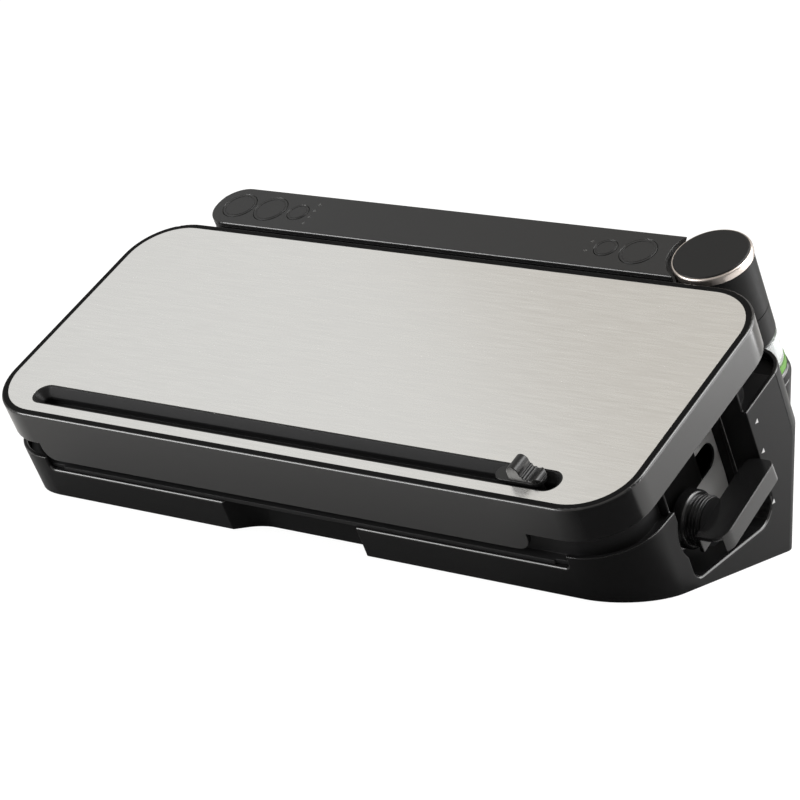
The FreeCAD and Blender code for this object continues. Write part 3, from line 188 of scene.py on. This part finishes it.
# %% [markdown]
# Shiny pieces are drawn by what they mirror. The steel mirrors the air over the left rear, so a
# wide panel hangs there, turned until its edge falls across the steel as in the photograph. The
# lid's right side mirrors the floor at the right rear, so a tall softbox stands there. Two strips,
# one low at the front left and one high at the right, are mirrored only by the rounded edges and
# draw the thin bright lines along them. Behind each strip a wider one, which lights no dull
# surface, makes these lines stronger. A softbox is given its place, the point that it faces, its
# width and height in metres and its brightness.

# %% Lights


def softbox(name, place, target, width, height, brightness, tint=(1, 1, 1), roll=0.0):
    lamp = bpy.data.lights.new(name, "AREA")
    lamp.shape = "RECTANGLE"
    lamp.size = width
    lamp.size_y = height
    lamp.energy = brightness * math.pi * width * height
    lamp.color = tint
    box = bpy.data.objects.new(name, lamp)
    scene.collection.objects.link(box)
    facing = (Vector(target) - Vector(place)).to_track_quat("-Z", "Y").to_matrix().to_4x4()
    box.matrix_world = Matrix.Translation(place) @ facing @ Matrix.Rotation(roll, 4, "Z")
    return box


cool = (0.85, 1.0, 1.18)
across_steel = math.radians(44)
sealer = (0, 0, 0.08)
softbox("overhead panel", (-1.23, -0.08, 1.3), (-1.23, -0.08, 0), 1.2, 1.8, 0.26, cool,
        across_steel)
softbox("right softbox", (0.62, 0.5, 0.3), (0.2, -0.05, 0.1), 0.7, 0.6, 5.0)
softbox("front strip", (-0.95, -1.25, 0.42), sealer, 0.9, 0.6, 9.0)
softbox("edge strip", (0.82, 0.31, 1.26), sealer, 0.6, 0.5, 8.0)
for glint in (softbox("front glint", (-0.97, -1.28, 0.43), sealer, 1.2, 0.9, 5.0),
              softbox("edge glint", (0.83, 0.32, 1.28), sealer, 1.2, 1.0, 6.0)):
    glint.visible_diffuse = False

# %% [markdown]
# In the photograph the lid's front right corner is black. A dark card lies on the floor where that
# corner mirrors it, unseen by the camera. It fades out to the left, so that the corner's tone has
# no hard edge.

# %% Dark card
card_size = 0.8
card_fade = 0.09
bpy.ops.object.select_all(action="DESELECT")
bpy.ops.mesh.primitive_plane_add(size=card_size, location=(0.5, -0.43, 0.0004))
card = bpy.context.active_object
card.name = "dark_card"
card.visible_camera = False
card.visible_shadow = False
card.visible_diffuse = False
card_paint = bpy.data.materials.new("card black")
nodes, links = fresh_nodes(card_paint)
on_card = nodes.new("ShaderNodeTexCoord")
split = nodes.new("ShaderNodeSeparateXYZ")
fade = nodes.new("ShaderNodeMapRange")
fade.interpolation_type = "SMOOTHSTEP"
fade.inputs["From Min"].default_value = -card_size / 2
fade.inputs["From Max"].default_value = -card_size / 2 + card_fade
nothing = nodes.new("ShaderNodeBsdfTransparent")
black = nodes.new("ShaderNodeBsdfDiffuse")
black.inputs["Color"].default_value = (0.01, 0.01, 0.01, 1)
blend = nodes.new("ShaderNodeMixShader")
output = nodes.new("ShaderNodeOutputMaterial")
links.new(on_card.outputs["Object"], split.inputs[0])
links.new(split.outputs["X"], fade.inputs["Value"])
links.new(fade.outputs["Result"], blend.inputs["Fac"])
links.new(nothing.outputs[0], blend.inputs[1])
links.new(black.outputs[0], blend.inputs[2])
links.new(blend.outputs[0], output.inputs["Surface"])
card.data.materials.append(card_paint)
print("card", card.name)

# %% [markdown]
# Most pieces are moulded plastic. Its skin has a fine grain, a faint unevenness of tone, and a
# painted highlight that lightens the colour along its rounded edges. Metal has fine lines instead,
# drawn out along the brushing. Many pieces share these effects, so each is a node group that a
# material places with its own values.

# %% Node groups shared by the finishes


def new_group(name, inputs, outputs):
    group = bpy.data.node_groups.new(name, "ShaderNodeTree")
    for label, kind, value in inputs:
        socket = group.interface.new_socket(label, in_out="INPUT", socket_type=kind)
        socket.default_value = value
    for label, kind in outputs:
        group.interface.new_socket(label, in_out="OUTPUT", socket_type=kind)
    start = group.nodes.new("NodeGroupInput")
    end = group.nodes.new("NodeGroupOutput")
    return group, start, end


def math_node(tree, operation, first=None, second=None):
    node = tree.nodes.new("ShaderNodeMath")
    node.operation = operation
    for index, value in enumerate((first, second)):
        if value is None:
            continue
        if isinstance(value, (int, float)):
            node.inputs[index].default_value = value
        else:
            tree.links.new(value, node.inputs[index])
    return node.outputs[0]


number = "NodeSocketFloat"
colour = "NodeSocketColor"
vector = "NodeSocketVector"


def make_moulded_skin():
    group, start, end = new_group(
        "moulded skin",
        [("Colour", colour, (0.03, 0.03, 0.03, 1)), ("Unevenness", number, 0.12),
         ("Roughness", number, 0.35), ("Grain size", number, 1800), ("Grain depth", number, 0.08),
         ("Painted edge highlight", number, 0.6)],
        [("Colour", colour), ("Roughness", number), ("Normal", vector)])
    links = group.links
    place = group.nodes.new("ShaderNodeTexCoord")
    cloud = group.nodes.new("ShaderNodeTexNoise")
    cloud.inputs["Scale"].default_value = 14
    cloud.inputs["Detail"].default_value = 4
    grain = group.nodes.new("ShaderNodeTexNoise")
    grain.inputs["Detail"].default_value = 2
    links.new(place.outputs["Object"], cloud.inputs["Vector"])
    links.new(place.outputs["Object"], grain.inputs["Vector"])
    links.new(start.outputs["Grain size"], grain.inputs["Scale"])
    round_edge = group.nodes.new("ShaderNodeBevel")
    round_edge.samples = 4
    round_edge.inputs["Radius"].default_value = 0.5 * mm
    face = group.nodes.new("ShaderNodeNewGeometry")
    facing = group.nodes.new("ShaderNodeVectorMath")
    facing.operation = "DOT_PRODUCT"
    links.new(round_edge.outputs["Normal"], facing.inputs[0])
    links.new(face.outputs["Normal"], facing.inputs[1])
    # Painted highlight: the colour is lightened where the rounded-edge normal leans away from the
    # face.
    edge = math_node(group, "SUBTRACT", 1.0, facing.outputs["Value"])
    edge = math_node(group, "MULTIPLY", edge, start.outputs["Painted edge highlight"])
    swing = math_node(group, "SUBTRACT", cloud.outputs["Fac"], 0.5)
    swing = math_node(group, "MULTIPLY", swing, start.outputs["Unevenness"])
    tone = math_node(group, "ADD", swing, 1.0)
    tone = math_node(group, "ADD", tone, edge)
    tint = group.nodes.new("ShaderNodeVectorMath")
    tint.operation = "SCALE"
    links.new(start.outputs["Colour"], tint.inputs[0])
    links.new(tone, tint.inputs["Scale"])
    links.new(tint.outputs["Vector"], end.inputs["Colour"])
    rough = math_node(group, "ADD", start.outputs["Roughness"], swing)
    rough = math_node(group, "MAXIMUM", rough, 0.04)
    links.new(rough, end.inputs["Roughness"])
    bump = group.nodes.new("ShaderNodeBump")
    bump.inputs["Distance"].default_value = 0.05 * mm
    links.new(start.outputs["Grain depth"], bump.inputs["Strength"])
    links.new(grain.outputs["Fac"], bump.inputs["Height"])
    links.new(round_edge.outputs["Normal"], bump.inputs["Normal"])
    links.new(bump.outputs["Normal"], end.inputs["Normal"])
    return group


def make_brushed_lines():
    group, start, end = new_group(
        "brushed lines",
        [("Colour", colour, (0.6, 0.6, 0.6, 1)), ("Contrast", number, 0.2),
         ("Roughness", number, 0.3), ("Depth", number, 0.1), ("Along", number, 6),
         ("Across", number, 2600)],
        [("Colour", colour), ("Roughness", number), ("Normal", vector)])
    links = group.links
    place = group.nodes.new("ShaderNodeTexCoord")
    stretch = group.nodes.new("ShaderNodeCombineXYZ")
    links.new(start.outputs["Along"], stretch.inputs["X"])
    links.new(start.outputs["Across"], stretch.inputs["Y"])
    links.new(start.outputs["Across"], stretch.inputs["Z"])
    scaled = group.nodes.new("ShaderNodeVectorMath")
    scaled.operation = "MULTIPLY"
    links.new(place.outputs["Object"], scaled.inputs[0])
    links.new(stretch.outputs[0], scaled.inputs[1])
    lines = group.nodes.new("ShaderNodeTexNoise")
    lines.inputs["Scale"].default_value = 1
    lines.inputs["Detail"].default_value = 3
    links.new(scaled.outputs["Vector"], lines.inputs["Vector"])
    swing = math_node(group, "SUBTRACT", lines.outputs["Fac"], 0.5)
    swing = math_node(group, "MULTIPLY", swing, start.outputs["Contrast"])
    tone = math_node(group, "ADD", swing, 1.0)
    tint = group.nodes.new("ShaderNodeVectorMath")
    tint.operation = "SCALE"
    links.new(start.outputs["Colour"], tint.inputs[0])
    links.new(tone, tint.inputs["Scale"])
    links.new(tint.outputs["Vector"], end.inputs["Colour"])
    rough = math_node(group, "ADD", start.outputs["Roughness"], swing)
    links.new(rough, end.inputs["Roughness"])
    bump = group.nodes.new("ShaderNodeBump")
    bump.inputs["Distance"].default_value = 0.02 * mm
    links.new(start.outputs["Depth"], bump.inputs["Strength"])
    links.new(lines.outputs["Fac"], bump.inputs["Height"])
    links.new(bump.outputs["Normal"], end.inputs["Normal"])
    return group


moulded_skin = make_moulded_skin()
brushed_lines = make_brushed_lines()
print("groups", [group.name for group in bpy.data.node_groups])

# %% [markdown]
# A finish is one Principled shader with a group in front of it. What is the same all over, such as
# the metal share or the clear coat, is set on the shader itself, and what changes over the surface
# comes from the group.

# %% Helpers for finishes


def new_finish(name, group, values, settings):
    material = bpy.data.materials.new(name)
    nodes, links = fresh_nodes(material)
    shader = nodes.new("ShaderNodeBsdfPrincipled")
    output = nodes.new("ShaderNodeOutputMaterial")
    links.new(shader.outputs[0], output.inputs["Surface"])
    effect = nodes.new("ShaderNodeGroup")
    effect.node_tree = group
    for label, value in values.items():
        effect.inputs[label].default_value = value
    links.new(effect.outputs["Colour"], shader.inputs["Base Color"])
    links.new(effect.outputs["Roughness"], shader.inputs["Roughness"])
    links.new(effect.outputs["Normal"], shader.inputs["Normal"])
    for label, value in settings.items():
        shader.inputs[label].default_value = value
    return material


# The edge value sets the painted highlight that lightens the colour along rounded edges.
def plastic(name, tone, roughness, grain=0.08, unevenness=0.1, edge=0.6, **settings):
    values = {"Colour": (*tone, 1), "Unevenness": unevenness, "Roughness": roughness,
              "Grain depth": grain, "Painted edge highlight": edge}
    return new_finish(name, moulded_skin, values, settings)


def metal(name, tone, roughness, contrast=0.15, depth=0.08, along=6, across=2600, **settings):
    values = {"Colour": (*tone, 1), "Contrast": contrast, "Roughness": roughness, "Depth": depth,
              "Along": along, "Across": across}
    return new_finish(name, brushed_lines, values, {"Metallic": 1.0, **settings})


print("finish helpers", plastic.__name__, metal.__name__)

# %% [markdown]
# The lower body is near-black dull plastic, the lid's frame a glossy one, and the panel a dark grey
# satin. The hand sealer's barrels and cap, the cutter's knob and the lid's rim each have a tone of
# their own. Rubber and the white working pieces follow. The steel top is brushed along its width.

# %% The finishes
matt = {"Specular IOR Level": 0.07}
satin = {"Specular IOR Level": 0.24}
gloss = {"Specular IOR Level": 0.5}
faint = {"Specular IOR Level": 0.14}
dull = {"Specular IOR Level": 0.02}
glassy = {"Transmission Weight": 0.75, "IOR": 1.25}
finishes = {
    "body_black": plastic("body plastic", (0.007, 0.007, 0.0073), 0.38, grain=0.1, **matt),
    "lid_black": plastic("lid plastic", (0.008, 0.008, 0.0083), 0.16, grain=0.02, **gloss),
    "panel_black": plastic("panel plastic", (0.012, 0.012, 0.0123), 0.4, grain=0.12, **satin),
    "inner_grey": plastic("deck plastic", (0.014, 0.014, 0.0145), 0.38, grain=0.12, **matt),
    "control_black": plastic("lever plastic", (0.009, 0.009, 0.0094), 0.22, grain=0.015, **gloss),
    "button_black": plastic("button plastic", (0.0125, 0.0125, 0.0128), 0.42, grain=0.14, **satin),
    "steel": metal("brushed steel", (0.62, 0.61, 0.59), 0.26, contrast=0.17, depth=0.03,
                   along=48, across=800),
    "rubber": plastic("soft rubber", (0.012, 0.012, 0.012), 0.7, grain=0.5, edge=0.2, **matt),
    "bright_metal": metal("plated steel", (0.62, 0.62, 0.61), 0.25, contrast=0.1, along=900,
                          across=900),
    "white_plastic": plastic("white nylon", (0.72, 0.72, 0.69), 0.4, unevenness=0.04, edge=0.05),
    "heater": plastic("brown heat tape", (0.28, 0.17, 0.09), 0.55, grain=0.6, edge=0.0),
    "core_metal": metal("core plates", (0.22, 0.22, 0.23), 0.5, contrast=0.6, depth=0.4,
                        along=1500, across=1500),
    "board_green": plastic("board lacquer", (0.03, 0.2, 0.07), 0.3, unevenness=0.25, edge=0.1),
    "light_clear": plastic("light lens", (0.03, 0.03, 0.03), 0.2, grain=0.0, edge=0.0),
    "champagne": metal("champagne coat", (0.52, 0.47, 0.435), 0.34, contrast=0.04, depth=0.0,
                       along=800, across=800),
    "clear": plastic("clear plastic", (0.93, 0.95, 0.95), 0.08, grain=0.0, unevenness=0.02,
                     edge=0.0, **glassy),
    "green_band": plastic("green band", (0.06, 0.2, 0.005), 0.35, grain=0.05, edge=0.1, **satin),
}
knob_finish = plastic("knob plastic", (0.008, 0.008, 0.0082), 0.3, grain=0.01, **satin)
cap_finish = plastic("cap plastic", (0.008, 0.008, 0.0082), 0.42, grain=0.1, **faint)
grip_finish = plastic("grip plastic", (0.0105, 0.0105, 0.0108), 0.42, grain=0.12, **matt)
rim_finish = plastic("rim plastic", (0.006, 0.006, 0.0062), 0.5, grain=0.05, **dull)
edge_finish = plastic("polished edges", (0.009, 0.009, 0.0093), 0.15, grain=0.0, **gloss)
# Painted reflection: a pale grey colour for the pocket floor, in place of the bright light seen
# there.
pocket_painted_reflection = plastic("pocket painted reflection", (0.3, 0.3, 0.3), 0.3, grain=0.05, edge=0.0)
# Painted shade: a near-black dull finish for the strip that stands for the shadow behind the lever.
painted_shade_finish = plastic("painted shade plastic", (0.003, 0.003, 0.003), 0.6, grain=0.02, edge=0.0, **dull)
print_finish = plastic("printed marks", (0.4, 0.4, 0.4), 0.6, grain=0.1, edge=0.0)
print("finishes", len(finishes))

# %% [markdown]
# The sill of the lever's window is rounded more than other edges, since a hand passes over it. Its
# edges lie on the right wall, inside the window's outline, so they are found by their place and
# rounded with a bevel of three steps.

# %% Helper for the sill of the lever's window


def only(piece):
    bpy.ops.object.select_all(action="DESELECT")
    piece.select_set(True)
    bpy.context.view_layer.objects.active = piece


wall_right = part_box("base_shell")[1].x
window_front = 44.6
window_back = 118.5
sill_front = -78.6
sill_slope = 0.314
sill_top = -40
near = 0.1
sill_round = 1.3 * mm


def on_sill(point):
    flat = deck_turn.inverted() @ (point - on_deck(0, 0, 0)) / mm
    lowest = sill_front - (flat.y - window_front) * sill_slope - near
    on_wall = abs(point.x - wall_right) < 0.01 * mm
    in_window = window_front - near < flat.y < window_back + near
    return on_wall and in_window and lowest < flat.z < sill_top


def round_sill(piece):
    bpy.ops.object.mode_set(mode="EDIT")
    bpy.ops.mesh.select_mode(type="EDGE")
    bpy.ops.mesh.select_all(action="DESELECT")
    bpy.ops.object.mode_set(mode="OBJECT")
    count = 0
    for edge in piece.data.edges:
        edge.select = all(on_sill(piece.data.vertices[index].co) for index in edge.vertices)
        count += edge.select
    bpy.ops.object.mode_set(mode="EDIT")
    bpy.ops.mesh.bevel(offset=sill_round, segments=3, affect="EDGES")
    bpy.ops.object.mode_set(mode="OBJECT")
    print("edges of the sill", count)


print("right wall at", wall_right)

# %% [markdown]
# A CAD edge is perfectly sharp, and no moulded edge is: it always catches a thin line of light.
# Each visible solid is copied, its loose triangles are merged, flat faces are joined again, and a
# narrow bevel rounds the edges. Where a bevel overshoots at an awkward corner, the point is drawn
# back into the solid's own box. Weighted normals keep the wide faces flat between their rounded
# edges, which a mirror-like finish would otherwise show as a dent. The copy then stands for the
# solid. The list gives each solid its copy's name and the width of its bevel in millimetres.

# %% Round the edges of the visible solids
slot_of = {row["node"]: row["material_slot"] for row in frame["record"]["subparts"]}
bodies = frame["record"]["behaviour"]["bodies"]
body_of = {node: body for body, members in bodies.items() for node in members}
crease = math.radians(35)
same_plane = math.radians(0.5)
own_finish = {"handheld_barrel": grip_finish, "handheld_lower_barrel": grip_finish,
              "handheld_cap": cap_finish, "cutter_slide": knob_finish}


def into_box(point, low, high):
    return [min(max(value, least), most) for value, least, most in zip(point, low, high)]


def dress(node, name, edge):
    only(frame["nodes"][node])
    bpy.ops.object.duplicate()
    piece = bpy.context.active_object
    piece.name = name
    del piece["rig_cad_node"]
    bpy.ops.object.mode_set(mode="EDIT")
    bpy.ops.mesh.select_all(action="SELECT")
    bpy.ops.mesh.remove_doubles(threshold=0.001 * mm)
    bpy.ops.mesh.dissolve_limited(angle_limit=same_plane)
    bpy.ops.object.mode_set(mode="OBJECT")
    bpy.ops.mesh.customdata_custom_splitnormals_clear()
    if node == "base_shell":
        round_sill(piece)
    if edge > 0:
        rounding = piece.modifiers.new("rounding", "BEVEL")
        rounding.width = edge * mm
        rounding.segments = 2
        rounding.limit_method = "ANGLE"
        rounding.angle_limit = crease
        rounding.use_clamp_overlap = False
        bpy.ops.object.modifier_apply(modifier=rounding.name)
        low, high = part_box(node)
        for vertex in piece.data.vertices:
            vertex.co = into_box(vertex.co, low, high)
    bpy.ops.object.shade_smooth_by_angle(angle=crease)
    flatten = piece.modifiers.new("flat faces", "WEIGHTED_NORMAL")
    flatten.weight = 100
    flatten.keep_sharp = True
    bpy.ops.object.modifier_apply(modifier=flatten.name)
    piece.data.materials.clear()
    piece.data.materials.append(own_finish.get(node, finishes[slot_of[node]]))
    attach(piece, body_of[node])
    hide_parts(node)
    return piece


rounded = {
    "base_shell": ("outer_body", 0.6), "bottom_cover": ("under_plate", 0.3),
    "deck_plate": ("deck_floor", 0.4), "rear_housing": ("panel_housing", 0.2),
    "control_panel": ("button_panel", 0.2), "dock_cup": ("dock", 0.3),
    "lid_shell": ("lid_frame", 0.0), "steel_plate": ("steel_top", 0.12),
    "lid_liner": ("lid_lining", 0.25), "cutter_track": ("knob_track", 0.2),
    "cutter_slide": ("cutter_knob", 0.3), "lever_arm": ("lever_handle", 0.5),
    "lever_hub": ("lever_disc", 0.4), "handheld_cap": ("grip_cap", 0.2),
    "handheld_ring": ("grip_ring", 0.5), "handheld_barrel": ("grip_upper", 0.2),
    "handheld_lower_barrel": ("grip_lower", 0.2), "reservoir": ("clear_cup", 0.0),
    "reservoir_band": ("cup_band", 0.15), "suction_nozzle": ("nozzle", 0.2),
    "rubber_feet": ("feet", 0.2), "cord_gland": ("cord_bush", 0.2), "drip_tray": ("tray", 0.3),
    "hinge_brackets": ("hinge_posts", 0.3), "lid_catches": ("catch_hooks", 0.3),
    "latch_claws": ("claws", 0.3), "upper_gasket": ("lid_gasket", 0.4),
    "lower_gasket": ("deck_gasket", 0.4), "pressure_strip": ("press_pad", 0.3),
}
for button in ("vacuum", "seal", "food_mode", "handheld_mode", "handheld"):
    rounded[button + "_button"] = (button + "_key", 0.1)
dressed = {node: dress(node, name, edge) for node, (name, edge) in rounded.items()}
print("rounded", len(dressed), "pieces")

# %% [markdown]
# The lid's rim beside the steel is dull black, while its sides shine. The edges of the body and of
# the panel are polished by the mould, unlike the grained faces between them. The floor of the
# lever's pocket is painted pale grey, a painted reflection standing for the bright light it shows.
# Each belongs to one moulding, so the faces are picked by the way they face and get a second
# finish.

# %% Second finishes on the lid, the panel and the body
deck_up = deck_turn.to_3x3() @ Vector((0, 0, 1))
squarely = 0.97
pocket_depth = 24 * mm
pocket_nearest = 5 * mm
pocket_farthest = 40 * mm
edge_from = 0.2
edge_to = 0.95


def repaint(piece, finish, chosen):
    piece.data.materials.append(finish)
    slot = len(piece.data.materials) - 1
    count = 0
    for face in piece.data.polygons:
        if chosen(face.normal, face.center):
            face.material_index = slot
            count += 1
    return count


def on_rim(normal, centre):
    return normal.dot(deck_up) > squarely


def in_pocket(normal, centre):
    depth = wall_right - centre.x
    return normal.x > squarely and pocket_nearest < depth < pocket_farthest


def on_edge(normal, centre):
    return edge_from < normal.dot(deck_up) < edge_to


print("rim faces", repaint(dressed["lid_shell"], rim_finish, on_rim))
# The pocket floor gets the pale painted reflection.
print("pocket faces", repaint(dressed["base_shell"], pocket_painted_reflection, in_pocket))
for node in ("base_shell", "control_panel", "dock_cup"):
    print(node, "edge faces", repaint(dressed[node], edge_finish, on_edge))

# %% [markdown]
# Each round key has a thin raised ring that a finger can feel. It starts as a disc: an inset marks
# the ring's inner edge, the middle is removed, the band is pulled up, and a bevel rounds it. One
# ring of each size is modelled, and copies are laid on the keys' tops.

# %% Rings on the keys


def flat_ring(name, outer, width, height, finish):
    bpy.ops.object.select_all(action="DESELECT")
    bpy.ops.mesh.primitive_circle_add(vertices=72, radius=outer * mm, fill_type="NGON")
    ring = bpy.context.active_object
    ring.name = name
    bpy.ops.object.mode_set(mode="EDIT")
    bpy.ops.mesh.select_all(action="SELECT")
    if width < outer:
        bpy.ops.mesh.inset(thickness=width * mm)
        bpy.ops.mesh.delete(type="FACE")
        bpy.ops.mesh.select_all(action="SELECT")
    bpy.ops.mesh.extrude_region_move(TRANSFORM_OT_translate={"value": (0, 0, height * mm)})
    bpy.ops.mesh.select_all(action="SELECT")
    bpy.ops.mesh.normals_make_consistent(inside=False)
    bpy.ops.object.mode_set(mode="OBJECT")
    rounding = ring.modifiers.new("rounding", "BEVEL")
    rounding.width = height * mm / 3
    rounding.segments = 2
    bpy.ops.object.modifier_apply(modifier=rounding.name)
    bpy.ops.object.shade_smooth_by_angle(angle=crease)
    ring.data.materials.append(finish)
    return ring


def lay_copy(model, name, place, body):
    only(model)
    bpy.ops.object.duplicate()
    copy = bpy.context.active_object
    copy.name = name
    copy.matrix_world = place
    bpy.ops.object.transform_apply(location=True, rotation=True, scale=True)
    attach(copy, body)
    return copy


def key_top(node):
    points = [vertex.co for vertex in frame["nodes"][node].data.vertices]
    peak = max(point.dot(deck_up) for point in points)
    rim = [point for point in points if peak - point.dot(deck_up) < 0.02 * mm]
    return sum(rim, Vector()) / len(rim)


ring_height = 0.18
sink = 0.04 * mm
key_finish = finishes["button_black"]
large_ring = flat_ring("large_ring", outer=8.9, width=0.4, height=ring_height, finish=key_finish)
small_ring = flat_ring("small_ring", outer=5.5, width=0.35, height=ring_height, finish=key_finish)
rings = []
for key, model in (("vacuum", large_ring), ("seal", large_ring), ("handheld", large_ring),
                   ("food_mode", small_ring), ("handheld_mode", small_ring)):
    node = key + "_button"
    place = Matrix.Translation(key_top(node) - deck_up * sink) @ deck_turn
    rings.append(lay_copy(model, key + "_ring", place, node))
for model in (large_ring, small_ring):
    bpy.data.objects.remove(model)
print("rings", [ring.name for ring in rings])

# %% [markdown]
# The lever's hub is turned with three fine ridges between its flange and the arm. The same ring,
# stood on edge round the lever's axis, makes them. A dull disc, a ring without a hole, covers the
# joint between the hub's end and the arm.

# %% Ridges and cover on the lever's hub
hub_low, hub_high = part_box("lever_hub")
hub_middle = (hub_low + hub_high) / 2
first_ridge = 2.2
ridge_pitch = 1.9
ridge = flat_ring("ridge", outer=13.1, width=0.7, height=1.0, finish=finishes["control_black"])
sideways = Matrix.Rotation(math.radians(90), 4, "Y")
for index in range(3):
    spot = hub_middle.copy()
    spot.x = hub_high.x - (first_ridge + ridge_pitch * index) * mm
    place = Matrix.Translation(spot) @ sideways
    lay_copy(ridge, "hub_ridge_%d" % (index + 1), place, "lever")
bpy.data.objects.remove(ridge)
cover_radius = 12.3
cover = flat_ring("cover", cover_radius, width=cover_radius, height=0.9, finish=rim_finish)
spot = hub_middle.copy()
spot.x = hub_high.x - sink
lay_copy(cover, "hub_cover", Matrix.Translation(spot) @ sideways, "lever")
bpy.data.objects.remove(cover)
print("hub axis", hub_middle)

# %% [markdown]
# Behind the hub a near-black strip, painted shade for the shadow behind the lever, lies on the
# pocket's floor up to the round slot. A plane is stretched, its corners are rounded, and it is
# pulled up by the strip's thickness.

# %% Painted shade strip in the lever's pocket
strip_length = 53 * mm
strip_width = 26 * mm
strip_height = 0.7 * mm
strip_corner = 2.5 * mm
strip_edge = 0.15 * mm
strip_up = 73
strip_above = -53
bpy.ops.object.select_all(action="DESELECT")
bpy.ops.mesh.primitive_plane_add(size=1)
strip = bpy.context.active_object
strip.name = "painted_shade_strip"
bpy.ops.object.mode_set(mode="EDIT")
bpy.ops.mesh.select_all(action="SELECT")
bpy.ops.transform.resize(value=(strip_length, strip_width, 1))
bpy.ops.mesh.bevel(offset=strip_corner, segments=5, affect="VERTICES")
bpy.ops.mesh.select_all(action="SELECT")
bpy.ops.mesh.extrude_region_move(TRANSFORM_OT_translate={"value": (0, 0, strip_height)})
bpy.ops.mesh.select_all(action="SELECT")
bpy.ops.mesh.normals_make_consistent(inside=False)
bpy.ops.object.mode_set(mode="OBJECT")
rounding = strip.modifiers.new("rounding", "BEVEL")
rounding.width = strip_edge
rounding.limit_method = "ANGLE"
bpy.ops.object.modifier_apply(modifier=rounding.name)
bpy.ops.object.shade_smooth_by_angle(angle=crease)
strip.data.materials.append(painted_shade_finish)
along = deck_turn.to_3x3() @ Vector((0, 1, 0))
flat_on_wall = Matrix((along, deck_up, along.cross(deck_up))).transposed().to_4x4()
spot = on_deck(0, strip_up, strip_above)
spot.x = wall_right - pocket_depth - sink
strip.matrix_world = Matrix.Translation(spot) @ flat_on_wall
bpy.ops.object.transform_apply(location=True, rotation=True, scale=True)
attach(strip, "base")
print("painted shade strip at", spot)

# %% [markdown]
# Three small printed arrowheads on the right wall show the lever's places. An arrowhead is a disc
# of three corners, stretched towards its tip, pulled up by the thickness of the ink and rounded at
# its edges.

# %% Arrowheads beside the lever
wall_across = 204
arrow_radius = 1.5 * mm
arrow_stretch = 1.3
ink = 0.1 * mm
ink_edge = 0.03 * mm
arrow_places = {"open": (124.5, -45), "store": (122.4, -62.5), "seal": (118.4, -92.6)}
bpy.ops.object.select_all(action="DESELECT")
bpy.ops.mesh.primitive_circle_add(vertices=3, radius=arrow_radius, fill_type="NGON")
arrow = bpy.context.active_object
arrow.name = "arrow"
bpy.ops.object.mode_set(mode="EDIT")
bpy.ops.mesh.select_all(action="SELECT")
bpy.ops.transform.resize(value=(1, arrow_stretch, 1))
bpy.ops.mesh.extrude_region_move(TRANSFORM_OT_translate={"value": (0, 0, ink)})
bpy.ops.mesh.select_all(action="SELECT")
bpy.ops.mesh.normals_make_consistent(inside=False)
bpy.ops.mesh.bevel(offset=ink_edge, segments=1)
bpy.ops.object.mode_set(mode="OBJECT")
arrow.data.materials.append(print_finish)
tip = deck_turn.to_3x3() @ Vector((0, -1, 0))
outward = Vector((1, 0, 0))
face_right = Matrix((tip.cross(outward), tip, outward)).transposed().to_4x4()
for name, (up, above) in arrow_places.items():
    spot = on_deck(wall_across, up, above) - outward * sink
    lay_copy(arrow, name + "_arrow", Matrix.Translation(spot) @ face_right, "base")
bpy.data.objects.remove(arrow)
print("arrowheads", list(arrow_places))

# %% [markdown]
# The solids that stay as they are, mostly works inside the body, still get their own finishes.

# %% Finishes of the remaining solids
kept = [node for node in frame["nodes"] if node not in dressed]
for node in kept:
    solid = frame["nodes"][node]
    solid.data.materials.clear()
    solid.data.materials.append(finishes[slot_of[node]])
print("kept solids", len(kept))
